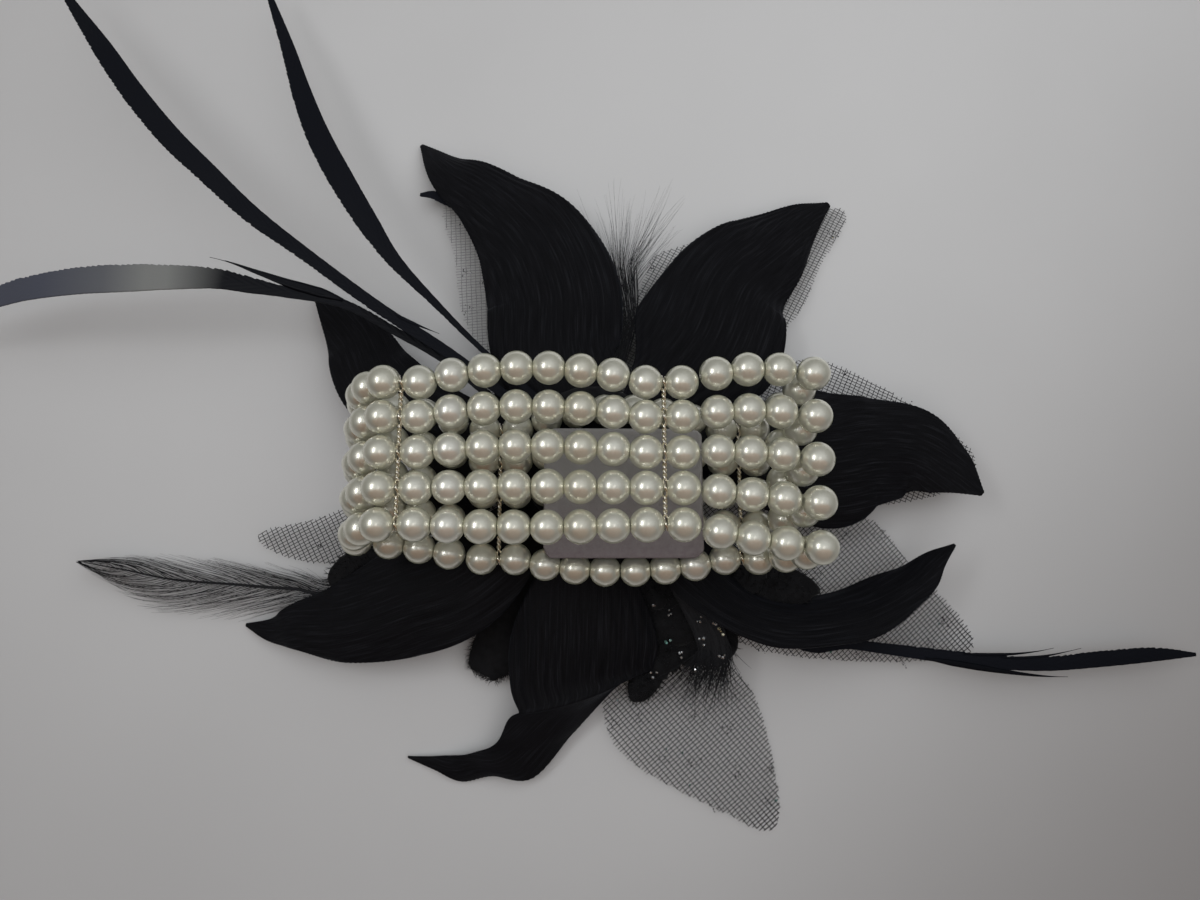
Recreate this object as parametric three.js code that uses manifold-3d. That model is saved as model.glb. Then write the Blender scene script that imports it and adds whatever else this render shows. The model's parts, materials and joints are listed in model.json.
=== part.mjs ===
import * as THREE from 'three';
import { mergeVertices } from 'three/addons/utils/BufferGeometryUtils.js';
import Module from 'manifold-3d';

// A wrist corsage lying face down: a black fabric flower with tulle leaves and feathers,
// carried by a stretch bracelet of five pearl strands that lies folded flat on its back.
// Millimetres, +Z up. The origin is the middle of the wrist pad's face, where the wrist lies.

// Driving dimensions of the bracelet
const CLEARANCE = 0.3;
const PEARL_DIAMETER = 6;
const DRILLED_FLAT = 0.1;
const PEARL_SIDES = 8;
const CORD_DIAMETER = 0.7;
const STRAND_COUNT = 5;
const PANEL_PEARLS = 8;
const STRAND_CLEARANCE = 0.4;
const HINGE_CLEARANCE = 0.3;
const LOWER_LINK_ANGLE = 63;
const UPPER_LINK_ANGLE = 177;
const LINK_PEARLS = 3;
const END_BOW = 1.6;
const BRACELET_X = -0.6;

// How far the strands spread beyond the spacer bars' hole pitch in the middle of each panel,
// and where the middle strand runs there
const FLOWER_PANEL_SPREAD = 1.6;
const PALM_PANEL_SPREAD = 0.8;
const RIGHT_PANEL_SPREAD = 1.5;
const LEFT_PANEL_SPREAD = 0.3;
const FLOWER_BAR_Y = 0.3;
const PALM_BAR_Y = 5.5;
const FLOWER_MIDDLE_Y = 1.2;
const PALM_MIDDLE_Y = 6.6;
const RIGHT_END_Y = 4.9;
const LEFT_END_Y = 4.2;

// Spacer bars
const BAR_THICKNESS = 0.5;
const BAR_CLEARANCE = 0.12;
const EYE_WALL = 0.6;
const BAR_WEB = 0.9;
const EYE_SIDES = 8;

// Wrist pad and backing disc, which hold the flower side of the bracelet between them
const PAD_LENGTH = 30.5;
const PAD_WIDTH = 25;
const PAD_THICKNESS = 1.2;
const PAD_CORNER = 2;
const PAD_CORNER_STEPS = 4;
const DISC_DIAMETER = 30;
const DISC_THICKNESS = 1.5;
const DISC_SIDES = 28;

// Flower
const FLOWER_X = -6;
const FLOWER_Y = 8;
const POST_DIAMETER = 12;
const POST_LENGTH = 17;
const POST_NOSE = 3;
const POST_NOSE_SHARE = 0.6;
const POST_SIDES = 18;
const ROOT_GAP = 0.6;
const ROOT_HALF_WIDTH = 2.4;
const PETAL_THICKNESS = 0.7;
const PETAL_CUP = 0.2;
const PETAL_ROWS = 10;
const PETAL_COLUMNS = 4;
const FOLDED_PETAL_ROWS = 22;
const FEATHER_THICKNESS = 0.6;
const FEATHER_RIDGE = 0.12;
const FEATHER_ROWS = 12;
const FEATHER_COLUMNS = 2;
const TUFT_THICKNESS = 0.8;
const TUFT_ROWS = 8;

// Tulle leaves
const TULLE_THICKNESS = 0.5;
const NET_PITCH = 7.5;
const NET_THREAD = 1.1;
const NET_HEM = 1.2;
const TULLE_ROOT_GAP = 0.4;
const NET_REACH = 100;
const OUTLINE_STEPS = 3;

// Stamens
const STAMEN_DIAMETER = 1.6;
const STAMEN_TIP_DIAMETER = 4;
const STAMEN_STEPS = 5;
const STAMEN_SIDES = 6;
const STAMEN_HUB_HEADING = -68;
const STAMEN_HUB_REACH = 1.3;
const STAMEN_HUB_Z = -11;
const WELD_DISTANCE = 1e-4;

// Sizes that follow from the driving dimensions
const PEARL_RADIUS = PEARL_DIAMETER / 2;
const PEARL_PITCH = PEARL_DIAMETER - 2 * DRILLED_FLAT;
const FACE_RADIUS = Math.sqrt(PEARL_RADIUS ** 2 - (PEARL_PITCH / 2) ** 2);
const BAR_SPACING = PEARL_PITCH + BAR_THICKNESS + 2 * BAR_CLEARANCE;
const HINGE_SPACING = PEARL_DIAMETER + HINGE_CLEARANCE;
const STRAND_PITCH = PEARL_DIAMETER + STRAND_CLEARANCE;
const PANEL_LENGTH = (PANEL_PEARLS - 1) * PEARL_PITCH;
const BAR_X = PANEL_LENGTH / 2 + BAR_SPACING / 2;
const LOWER_LINK = HINGE_SPACING + (LINK_PEARLS - 1) * PEARL_PITCH;
const UPPER_LINK = LOWER_LINK + HINGE_SPACING;
const FLOWER_SIDE_Z = -PAD_THICKNESS - CLEARANCE - PEARL_RADIUS;
const DISC_TOP = FLOWER_SIDE_Z - PEARL_RADIUS - CLEARANCE;
const FLOWER_TOP = DISC_TOP - DISC_THICKNESS - CLEARANCE;
const POST_RADIUS = POST_DIAMETER / 2;
const ROOT_RADIUS = POST_RADIUS + ROOT_GAP;
const TULLE_ROOT_RADIUS = POST_RADIUS + TULLE_ROOT_GAP;

const pearlFinish = new THREE.MeshStandardMaterial({ color: 0xe9e3d1, roughness: 0.22, metalness: 0 });
const wireFinish = new THREE.MeshStandardMaterial({ color: 0xc9c1a8, roughness: 0.3, metalness: 1 });
const padFinish = new THREE.MeshStandardMaterial({ color: 0xd5d6d6, roughness: 0.9, metalness: 0 });
const feltFinish = new THREE.MeshStandardMaterial({ color: 0x111214, roughness: 1, metalness: 0 });
const petalFinish = new THREE.MeshStandardMaterial({ color: 0x15161a, roughness: 0.75, metalness: 0 });
const tulleFinish = new THREE.MeshStandardMaterial({ color: 0x1b1b1c, roughness: 0.8, metalness: 0 });
const featherFinish = new THREE.MeshStandardMaterial({ color: 0x101218, roughness: 0.6, metalness: 0 });
const stamenFinish = new THREE.MeshStandardMaterial({ color: 0x0e0f11, roughness: 0.5, metalness: 0 });

const corsage = new THREE.Group();
const bracelet = new THREE.Group();
const flower = new THREE.Group();
flower.position.set(FLOWER_X, FLOWER_Y, FLOWER_TOP);
corsage.add(bracelet, flower);

function addPiece(group, name, geometry, material) {
  const mesh = new THREE.Mesh(geometry, material);
  mesh.name = name;
  group.add(mesh);
}

// A closed body from a row of rings with equally many points. Each end is closed by a strip
// from the first half of its ring to the second half.
function loft(rings) {
  const count = rings[0].length;
  const half = count / 2;
  const index = [];
  const at = (row, k) => row * count + (k % count);
  for (let row = 0; row < rings.length - 1; row += 1) {
    for (let k = 0; k < count; k += 1) {
      index.push(at(row, k), at(row, k + 1), at(row + 1, k + 1));
      index.push(at(row, k), at(row + 1, k + 1), at(row + 1, k));
    }
  }
  const last = rings.length - 1;
  for (let k = 0; k < half - 1; k += 1) {
    const m = count - 1 - k;
    index.push(at(0, k), at(0, m), at(0, m - 1), at(0, k), at(0, m - 1), at(0, k + 1));
    index.push(at(last, k), at(last, m - 1), at(last, m), at(last, k), at(last, k + 1), at(last, m - 1));
  }
  const geometry = new THREE.BufferGeometry();
  const points = rings.flat().flatMap((p) => [p.x, p.y, p.z]);
  geometry.setAttribute('position', new THREE.Float32BufferAttribute(points, 3));
  geometry.setIndex(index);
  return geometry;
}

function direction(degrees) {
  const angle = THREE.MathUtils.degToRad(degrees);
  return new THREE.Vector2(Math.cos(angle), Math.sin(angle));
}

// The folded loop seen along Y: a six-sided chain whose corners are pearls. The two long panels
// lie one above the other, and at each end a lower and an upper link join them. The chain is
// point-symmetric, so it stays closed when the links turn. The steep links bow out at the ends.
const panelSteps = [BAR_SPACING, ...Array(PANEL_PEARLS - 1).fill(PEARL_PITCH), BAR_SPACING];
const linkSteps = [HINGE_SPACING, ...Array(LINK_PEARLS - 1).fill(PEARL_PITCH)];

function chain(start, degrees, steps, bow = 0) {
  const along = direction(degrees);
  const outward = direction(degrees - 90);
  const total = steps.reduce((sum, step) => sum + step);
  let reach = 0;
  return steps.map((step) => {
    reach += step;
    const share = reach / total;
    const point = start.clone().addScaledVector(along, reach);
    return point.addScaledVector(outward, 4 * bow * share * (1 - share));
  });
}

const hingeReach = BAR_X + BAR_SPACING / 2;
const flowerLeft = new THREE.Vector2(BRACELET_X - hingeReach, FLOWER_SIDE_Z);
const flowerRun = [flowerLeft, ...chain(flowerLeft, 0, panelSteps)];
const flowerRight = flowerRun.at(-1);
const rightLower = chain(flowerRight, LOWER_LINK_ANGLE, linkSteps, END_BOW);
const rightUpper = chain(rightLower.at(-1), UPPER_LINK_ANGLE, linkSteps);
const upperReach = direction(UPPER_LINK_ANGLE).multiplyScalar(UPPER_LINK);
const palmRight = rightLower.at(-1).clone().add(upperReach);
const palmRun = [palmRight, ...chain(palmRight, 180, panelSteps)];
const palmLeft = palmRun.at(-1);
const leftUpper = chain(palmLeft, LOWER_LINK_ANGLE + 180, linkSteps, END_BOW);
const leftLower = chain(leftUpper.at(-1), UPPER_LINK_ANGLE + 180, linkSteps);

// Where the five strands lie across the band: each panel has a middle line and a pitch, which
// leave one spacer bar, swell in the middle of the panel and come back at the next bar.
function panelRow(startY, endY, middleY, spread) {
  return (place) => {
    const swell = 4 * place * (1 - place);
    const line = THREE.MathUtils.lerp(startY, endY, place) + (middleY - (startY + endY) / 2) * swell;
    return { line, pitch: STRAND_PITCH + spread * swell };
  };
}

const flowerRow = panelRow(FLOWER_BAR_Y, FLOWER_BAR_Y, FLOWER_MIDDLE_Y, FLOWER_PANEL_SPREAD);
const rightRow = panelRow(FLOWER_BAR_Y, PALM_BAR_Y, RIGHT_END_Y, RIGHT_PANEL_SPREAD);
const palmRow = panelRow(PALM_BAR_Y, PALM_BAR_Y, PALM_MIDDLE_Y, PALM_PANEL_SPREAD);
const leftRow = panelRow(PALM_BAR_Y, FLOWER_BAR_Y, LEFT_END_Y, LEFT_PANEL_SPREAD);

function place(points, row, first) {
  return points.map((point, k) => ({ point, ...row((first + k) / (PANEL_PEARLS - 1)) }));
}

const inner = (run) => run.slice(1, -1);
const firstOf = (run) => run.slice(0, 1);
const lastOf = (run) => run.slice(-1);
const lastPlace = PANEL_PEARLS - 1;
const runs = {
  flower_side: [
    ...place(firstOf(flowerRun), leftRow, lastPlace),
    ...place(inner(flowerRun), flowerRow, 0),
    ...place(lastOf(flowerRun), rightRow, 0),
  ],
  right_lower: place(rightLower, rightRow, 1),
  right_upper: place(rightUpper, rightRow, 1 + LINK_PEARLS),
  palm_side: [
    ...place(firstOf(palmRun), rightRow, lastPlace),
    ...place(inner(palmRun), palmRow, 0),
    ...place(lastOf(palmRun), leftRow, 0),
  ],
  left_upper: place(leftUpper, leftRow, 1),
  left_lower: place(leftLower, leftRow, 1 + LINK_PEARLS),
};

// One run of pearls on its elastic. Pearls butt at their drilled faces, and where a spacer bar
// stands between two pearls the bare elastic crosses the gap through the bar's eye.
const acrossBand = new THREE.Vector3(0, 1, 0);

function circle(centre, axis, radius, sides) {
  const across = acrossBand.clone().addScaledVector(axis, -acrossBand.dot(axis)).normalize();
  const upward = new THREE.Vector3().crossVectors(axis, across);
  return Array.from({ length: sides }, (_, k) => {
    const turn = ((k + 0.5) / sides) * Math.PI * 2;
    const offset = across.clone().multiplyScalar(radius * Math.cos(turn));
    return centre.clone().add(offset).addScaledVector(upward, radius * Math.sin(turn));
  });
}

function pearlRun(centres) {
  const waist = PEARL_RADIUS * Math.SQRT1_2;
  const rings = [];
  const add = (centre, axis, reach, radius) => {
    rings.push(circle(centre.clone().addScaledVector(axis, reach), axis, radius, PEARL_SIDES));
  };
  const atBar = (a, b) => a.distanceTo(b) > PEARL_PITCH + BAR_THICKNESS;
  centres.forEach((centre, k) => {
    const before = k > 0 ? centres[k - 1] : centre;
    const after = k < centres.length - 1 ? centres[k + 1] : centre;
    const from = atBar(centre, after) ? centre : before;
    const to = atBar(before, centre) ? centre : after;
    const axis = to.clone().sub(from).normalize();
    if (k === 0 || atBar(before, centre)) add(centre, axis, -PEARL_PITCH / 2, FACE_RADIUS);
    add(centre, axis, -waist, waist);
    add(centre, axis, 0, PEARL_RADIUS);
    add(centre, axis, waist, waist);
    add(centre, axis, PEARL_PITCH / 2, FACE_RADIUS);
    if (atBar(centre, after)) {
      add(centre, axis, PEARL_PITCH / 2, CORD_DIAMETER / 2);
      add(after, axis, -PEARL_PITCH / 2, CORD_DIAMETER / 2);
    }
  });
  return loft(rings);
}

for (let strand = 0; strand < STRAND_COUNT; strand += 1) {
  const across = (STRAND_COUNT - 1) / 2 - strand;
  for (const [name, columns] of Object.entries(runs)) {
    const centres = columns.map(({ point, line, pitch }) => (
      new THREE.Vector3(point.x, line + across * pitch, point.y)));
    addPiece(bracelet, `strand_${strand + 1}_${name}`, pearlRun(centres), pearlFinish);
  }
}

// A spacer bar: a flat wire bar with one eye round each strand's elastic.
function spacerBar() {
  const hole = CORD_DIAMETER / 2 + CLEARANCE;
  const eye = hole + EYE_WALL;
  const middleEye = (STRAND_COUNT - 1) / 2;
  const eyes = Array.from({ length: STRAND_COUNT }, (_, k) => (k - middleEye) * STRAND_PITCH);
  const lead = Math.asin(BAR_WEB / 2 / eye);
  const outline = new THREE.Shape();
  const arc = (centre, from, to, sides) => Array.from({ length: sides + 1 }, (_, k) => {
    const turn = THREE.MathUtils.lerp(from, to, k / sides);
    return new THREE.Vector2(centre + eye * Math.cos(turn), eye * Math.sin(turn));
  });
  const lastEye = eyes.length - 1;
  const upper = eyes.flatMap((y, k) => (
    arc(y, k === 0 ? Math.PI : Math.PI - lead, k === lastEye ? 0 : lead, EYE_SIDES / 2)));
  const lower = upper.slice(1, -1).reverse().map((p) => new THREE.Vector2(p.x, -p.y));
  outline.setFromPoints([...upper, ...lower]);
  outline.holes = eyes.map((y) => {
    const corner = (k) => direction((360 * (k + 0.5)) / EYE_SIDES).multiplyScalar(hole);
    const ring = Array.from({ length: EYE_SIDES }, (_, k) => corner(k).add(new THREE.Vector2(y, 0)));
    return new THREE.Path().setFromPoints(ring);
  });
  const geometry = new THREE.ExtrudeGeometry(outline, { depth: BAR_THICKNESS, bevelEnabled: false });
  geometry.translate(0, 0, -BAR_THICKNESS / 2);
  const turn = new THREE.Matrix4().makeBasis(
    new THREE.Vector3(0, 1, 0),
    new THREE.Vector3(0, 0, 1),
    new THREE.Vector3(1, 0, 0),
  );
  return geometry.applyMatrix4(turn);
}

const palmMiddle = (palmLeft.x + palmRight.x) / 2;
const bars = {
  spacer_bar_flower_left: [BRACELET_X - BAR_X, FLOWER_BAR_Y, FLOWER_SIDE_Z],
  spacer_bar_flower_right: [BRACELET_X + BAR_X, FLOWER_BAR_Y, FLOWER_SIDE_Z],
  spacer_bar_palm_left: [palmMiddle - BAR_X, PALM_BAR_Y, palmLeft.y],
  spacer_bar_palm_right: [palmMiddle + BAR_X, PALM_BAR_Y, palmLeft.y],
};
for (const [name, [x, y, z]] of Object.entries(bars)) {
  addPiece(bracelet, name, spacerBar().translate(x, y, z), wireFinish);
}

// Wrist pad and backing disc
function roundedPad() {
  const x = PAD_LENGTH / 2 - PAD_CORNER;
  const y = PAD_WIDTH / 2 - PAD_CORNER;
  const outline = new THREE.Shape();
  outline.absarc(x, y, PAD_CORNER, 0, Math.PI / 2);
  outline.absarc(-x, y, PAD_CORNER, Math.PI / 2, Math.PI);
  outline.absarc(-x, -y, PAD_CORNER, Math.PI, Math.PI * 1.5);
  outline.absarc(x, -y, PAD_CORNER, Math.PI * 1.5, Math.PI * 2);
  const options = { depth: PAD_THICKNESS, bevelEnabled: false, curveSegments: PAD_CORNER_STEPS };
  return new THREE.ExtrudeGeometry(outline, options).translate(0, 0, -PAD_THICKNESS);
}

addPiece(bracelet, 'wrist_pad', roundedPad(), padFinish);
const discRadius = DISC_DIAMETER / 2;
const disc = new THREE.CylinderGeometry(discRadius, discRadius, DISC_THICKNESS, DISC_SIDES);
disc.rotateX(Math.PI / 2).translate(0, 0, DISC_THICKNESS / 2 + CLEARANCE);
addPiece(flower, 'backing_disc', disc, feltFinish);

// The post that every petal, leaf and feather is wired to
const postProfile = [
  new THREE.Vector2(0, -POST_LENGTH),
  new THREE.Vector2(POST_RADIUS * POST_NOSE_SHARE, -POST_LENGTH),
  new THREE.Vector2(POST_RADIUS, -POST_LENGTH + POST_NOSE),
  new THREE.Vector2(POST_RADIUS, 0),
  new THREE.Vector2(0, 0),
];
const post = new THREE.LatheGeometry(postProfile, POST_SIDES).rotateX(Math.PI / 2);
addPiece(flower, 'flower_post', post, feltFinish);

// A thin sheet on a row of frames. Each frame has a centre, a sideways and an upward direction
// and half the width there. The edges drop by the cup.
function sheet(frames, { thickness, cup, columns }) {
  return loft(frames.map(({ centre, side, up, half }) => {
    const edge = (k, lift) => {
      const v = 1 - (2 * k) / columns;
      const height = lift - cup * half * v * v;
      return centre.clone().addScaledVector(side, half * v).addScaledVector(up, height);
    };
    const top = Array.from({ length: columns + 1 }, (_, k) => edge(k, thickness / 2));
    const under = Array.from({ length: columns + 1 }, (_, k) => edge(columns - k, -thickness / 2));
    return [...top, ...under];
  }));
}

function curve(points) {
  const places = points.map(([x, y, z]) => new THREE.Vector3(x, y, z));
  return new THREE.CatmullRomCurve3(places, false, 'catmullrom');
}

// Frames along a spine. Each station holds x, y, z and half the width, seen from the middle of
// the flower's back. The sheet may roll about its spine.
function spineFrames(stations, { rows, thickness, roll = 0 }) {
  const spine = curve(stations);
  const widths = curve(stations.map((station) => [station[3], 0, 0]));
  return Array.from({ length: rows + 1 }, (_, row) => {
    const t = row / rows;
    const along = spine.getTangent(t);
    const side = new THREE.Vector3(-along.y, along.x, 0).normalize();
    side.applyAxisAngle(along, THREE.MathUtils.degToRad(roll) * Math.min(1, 3 * t));
    const up = new THREE.Vector3().crossVectors(along, side);
    const half = Math.max(widths.getPoint(t).x, thickness / 2);
    return { centre: spine.getPoint(t), side, up, half };
  });
}

// Frames between a left and a right edge
function edgeFrames(edges, { rows, thickness }) {
  const left = curve(edges.map((pair) => pair[0]));
  const right = curve(edges.map((pair) => pair[1]));
  return Array.from({ length: rows + 1 }, (_, row) => {
    const t = row / rows;
    const start = left.getPoint(t);
    const span = right.getPoint(t).sub(start);
    const along = left.getTangent(t).add(right.getTangent(t));
    const centre = start.addScaledVector(span, 0.5);
    const half = Math.max(span.length() / 2, thickness / 2);
    const up = new THREE.Vector3().crossVectors(along, span).normalize();
    return { centre, side: span.normalize(), up, half };
  });
}

// A piece's first station, on the post's side at an angle seen from above
function root(degrees, z, halfWidth = ROOT_HALF_WIDTH) {
  const out = direction(degrees).multiplyScalar(ROOT_RADIUS);
  return [out.x, out.y, z, halfWidth];
}

// Petals, from the root to the tip
const UPPER_TIER = -2.4;
const LOWER_TIER = -5;
const petals = {
  petal_top_left: [
    root(108, UPPER_TIER), [-8, 23, -4.4, 13.1], [-9, 39, -7.4, 15.1], [-14, 53, -10.4, 14.1],
    [-24, 65, -13.4, 9.8], [-35, 74, -17.5, 5.8], [-43, 83, -23, 0.5],
  ],
  petal_top_right: [
    root(50, LOWER_TIER), [16, 16, -6.6, 9.5], [25, 28, -8.6, 17.2], [32, 43.5, -12.4, 14.4],
    [40, 54, -15.4, 12.2], [49, 62.5, -18.4, 7], [57, 66, -20.4, 0.7],
  ],
  petal_right: [
    root(5, UPPER_TIER), [31, 2, -4.4, 9.7], [50, 2, -7.4, 15.4], [61, 4, -10.4, 12.4],
    [71, 4, -12.4, 10.3], [78, 0, -12.4, 6.6], [84, -6, -10.4, 0.6],
  ],
  petal_lower_right: [
    root(-38, LOWER_TIER), [20, -20, -6.5, 6.7], [31, -29, -8, 7.1], [43, -32, -9.5, 7.1],
    [56, -30, -10, 7.1], [66, -25, -9.5, 5.5], [72, -20, -8.5, 2.7], [76, -17, -7.5, 0.4],
  ],
  petal_lower_left: [
    root(-140, UPPER_TIER), [-25, -23, -5.4, 10.3], [-40, -29, -8.4, 11.5], [-53, -33, -12.4, 8.9],
    [-64, -34, -16.4, 5.6], [-71, -35, -19.9, 2.9], [-78, -34, -23, 0.4],
  ],
  petal_left: [
    root(155, LOWER_TIER), [-31, 12, -8.4, 9.8], [-47, 20, -12.4, 10.3], [-55, 32, -16.4, 6.2],
    [-66.5, 43.5, -20.5, 0.5],
  ],
};
const petalRolls = { petal_lower_right: -42 };
const petalForm = { thickness: PETAL_THICKNESS, cup: PETAL_CUP, columns: PETAL_COLUMNS };
for (const [name, stations] of Object.entries(petals)) {
  const frames = spineFrames(stations, { ...petalForm, rows: PETAL_ROWS, roll: petalRolls[name] });
  addPiece(flower, name, sheet(frames, petalForm), petalFinish);
}

// The bottom petal folds over and trails away to the left, so it is drawn between its two edges.
// Each row holds the left and the right point.
const bottomPetal = [
  [[-2.5, -6.6, -5], [2, -6.6, -5]],
  [[-13, -25.5, -7.5], [9.5, -25.5, -7.5]],
  [[-17.5, -37, -10], [13.5, -37, -9.5]],
  [[-17.5, -47, -12.5], [13, -42, -11.5]],
  [[-15.5, -53, -13], [11.5, -44, -12]],
  [[-18.5, -56.5, -15], [3, -50, -15]],
  [[-21, -59.5, -17], [-4.5, -58, -17.5]],
  [[-24.5, -61, -19], [-13, -66.5, -19.5]],
  [[-28.5, -61.5, -20.5], [-21.5, -66, -20.5]],
  [[-32, -62, -21.5], [-28.5, -67.5, -22]],
  [[-36, -62, -22.5], [-34.5, -65, -22.5]],
  [[-40.5, -62, -23], [-40.5, -62.5, -23]],
];
const foldedFrames = edgeFrames(bottomPetal, { ...petalForm, rows: FOLDED_PETAL_ROWS });
addPiece(flower, 'petal_bottom', sheet(foldedFrames, petalForm), petalFinish);

// Feathers: three long ones and one slim one with a ridge along the quill, a short one behind
// the top left petal and a soft hackle
const feathers = {
  long_feather_1: [
    [-8.5, 5.8, -0.7, 0.9], [-28.5, 21.5, -1.8, 1.2], [-46, 33, -1, 1.3], [-62.5, 45, 0, 1.5],
    [-73, 53.5, 0.3, 2], [-83, 63, 0.5, 2.3], [-91.5, 71.5, 0.5, 2.5], [-101, 82.5, 0, 2.5],
    [-111, 95, -2, 2.2], [-123, 110, -6, 1.1], [-131, 121, -7.5, 0.4],
  ],
  long_feather_2: [
    [-6, 8, -0.7, 0.9], [-23, 23.5, -3.2, 0.6], [-34.5, 35.5, -3, 0.9], [-42.5, 44.5, -2.6, 1.6],
    [-48.5, 53, -2.5, 2.4], [-55, 63.5, -2.8, 2.8], [-61, 74.5, -4, 2.7], [-66.5, 86, -6, 2.3],
    [-72.5, 100.5, -9, 1.6], [-79, 116, -13, 0.8], [-81.5, 122, -14.2, 0.3],
  ],
  long_feather_3: [
    [-10, 3.2, -0.7, 0.9], [-29, 20, -3, 0.9], [-42, 28, -3, 0.9], [-53.5, 34, -2, 1],
    [-65.5, 36.2, -1, 1.2], [-73, 37.6, -0.5, 1.8], [-80.5, 39, -0.2, 2.3], [-90.5, 39.2, 0, 2.8],
    [-99.5, 39, 0, 3.1], [-109.5, 38.8, -0.8, 3.1], [-120.5, 38.2, -3, 2.8], [-130, 37.3, -6, 2.5],
    [-150, 33, -12.5, 0.5],
  ],
  slim_feather: [
    root(-52, -12, 0.8), [41, -36, -16.9, 0.9], [57, -38, -17, 1.1], [81, -41, -16.5, 1.5],
    [96, -42, -16.5, 1.5], [109, -41, -16.5, 1.7], [121, -40, -16.5, 1.5], [130, -40, -16.5, 0.4],
  ],
  short_feather: [
    root(112, -8.4, 0.8), [-14, 37, -12.4, 1.4], [-24, 58, -16.4, 1.6], [-37, 67, -19, 1.2],
    [-42, 68, -19.4, 0.4],
  ],
  hackle_feather: [
    root(195, -9.5, 0.8), [-24, -12, -12, 1], [-55, -26, -17.5, 3.1], [-67, -26, -20, 4],
    [-81, -25, -20.5, 4.9], [-94, -24, -20.5, 4.9], [-104, -22, -20, 3.6], [-115, -20, -19.5, 0.9],
  ],
};
const featherForm = { thickness: FEATHER_THICKNESS, cup: FEATHER_RIDGE, columns: FEATHER_COLUMNS };
for (const [name, stations] of Object.entries(feathers)) {
  const frames = spineFrames(stations, { ...featherForm, rows: FEATHER_ROWS });
  addPiece(flower, name, sheet(frames, featherForm), featherFinish);
}

// Tufts of down between the petals and a soft velvet lobe
const tufts = {
  down_tuft_top: [
    root(82, -10, 1.5), [7, 32, -13.2, 3.2], [6.5, 44, -15.4, 6], [6, 55, -17.2, 9],
    [5, 64, -18.2, 11],
  ],
  down_tuft_bottom: [
    root(-35, -9.5, 1.5), [24, -34, -11.5, 3.4], [25, -42, -13, 4.6], [27, -50, -16, 6.8],
  ],
  velvet_lobe: [
    root(236, -10, 1.5), [-11, -31, -15.5, 2.6], [-19, -38, -17.5, 4.8], [-24, -43, -19, 4.8],
    [-25, -46, -19, 2.6],
  ],
};
const tuftForm = { thickness: TUFT_THICKNESS, cup: FEATHER_RIDGE, columns: FEATHER_COLUMNS };
for (const [name, stations] of Object.entries(tufts)) {
  const frames = spineFrames(stations, { ...tuftForm, rows: TUFT_ROWS });
  addPiece(flower, name, sheet(frames, tuftForm), featherFinish);
}

// Solids for joining and cutting
const wasm = await Module();
wasm.setup();

function solid(geometry) {
  geometry.deleteAttribute('normal');
  geometry.deleteAttribute('uv');
  const merged = mergeVertices(geometry, WELD_DISTANCE);
  const vertProperties = new Float32Array(merged.attributes.position.array);
  const triVerts = new Uint32Array(merged.index.array);
  return new wasm.Manifold(new wasm.Mesh({ numProp: 3, vertProperties, triVerts }));
}

function surface(body) {
  const mesh = body.getMesh();
  const geometry = new THREE.BufferGeometry();
  geometry.setAttribute('position', new THREE.Float32BufferAttribute(mesh.vertProperties, 3));
  geometry.setIndex(Array.from(mesh.triVerts));
  return geometry;
}

// Tulle leaves: flat nets below the petals. Each has an outline seen from above, leans down
// along its heading and is woven in squares.
function inside(point, outline) {
  let odd = false;
  outline.forEach((a, k) => {
    const b = outline[(k + 1) % outline.length];
    const crosses = (a.y > point.y) !== (b.y > point.y);
    if (crosses && point.x < ((b.x - a.x) * (point.y - a.y)) / (b.y - a.y) + a.x) odd = !odd;
  });
  return odd;
}

function tulleLeaf({ heading, rootZ, fall, corners }) {
  const along = direction(heading);
  const sideways = new THREE.Vector2(-along.y, along.x);
  const start = [-1, 1].map((s) => (
    along.clone().multiplyScalar(TULLE_ROOT_RADIUS).addScaledVector(sideways, s * ROOT_HALF_WIDTH)));
  const tips = corners.map(([x, y]) => new THREE.Vector2(x, y));
  const rim = new THREE.SplineCurve([start[0], ...tips, start[1]]);
  const outline = rim.getPoints(corners.length * OUTLINE_STEPS);
  const leafOptions = { depth: TULLE_THICKNESS, bevelEnabled: false };
  const punchOptions = { depth: 3 * TULLE_THICKNESS, bevelEnabled: false };
  let net = solid(new THREE.ExtrudeGeometry(new THREE.Shape(outline), leafOptions));
  const gap = NET_PITCH - NET_THREAD;
  const cells = Math.ceil(NET_REACH / NET_PITCH);
  const corner = (u, v, size) => [[-1, -1], [1, -1], [1, 1], [-1, 1]].map(([a, b]) => (
    along.clone().multiplyScalar(u + (a * size) / 2).addScaledVector(sideways, v + (b * size) / 2)));
  for (let row = 0; row < cells; row += 1) {
    for (let column = -cells; column <= cells; column += 1) {
      const u = TULLE_ROOT_RADIUS + (row + 0.5) * NET_PITCH;
      const v = column * NET_PITCH;
      const clear = corner(u, v, gap + 2 * NET_HEM);
      if (clear.every((p) => inside(p, outline))) {
        const hole = new THREE.Shape(corner(u, v, gap));
        const punch = new THREE.ExtrudeGeometry(hole, punchOptions);
        net = net.subtract(solid(punch.translate(0, 0, -TULLE_THICKNESS)));
      }
    }
  }
  const lean = new THREE.Matrix4().set(
    1, 0, 0, 0,
    0, 1, 0, 0,
    -fall * along.x, -fall * along.y, 1, rootZ + fall * TULLE_ROOT_RADIUS,
    0, 0, 0, 1,
  );
  return surface(net).applyMatrix4(lean);
}

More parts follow.
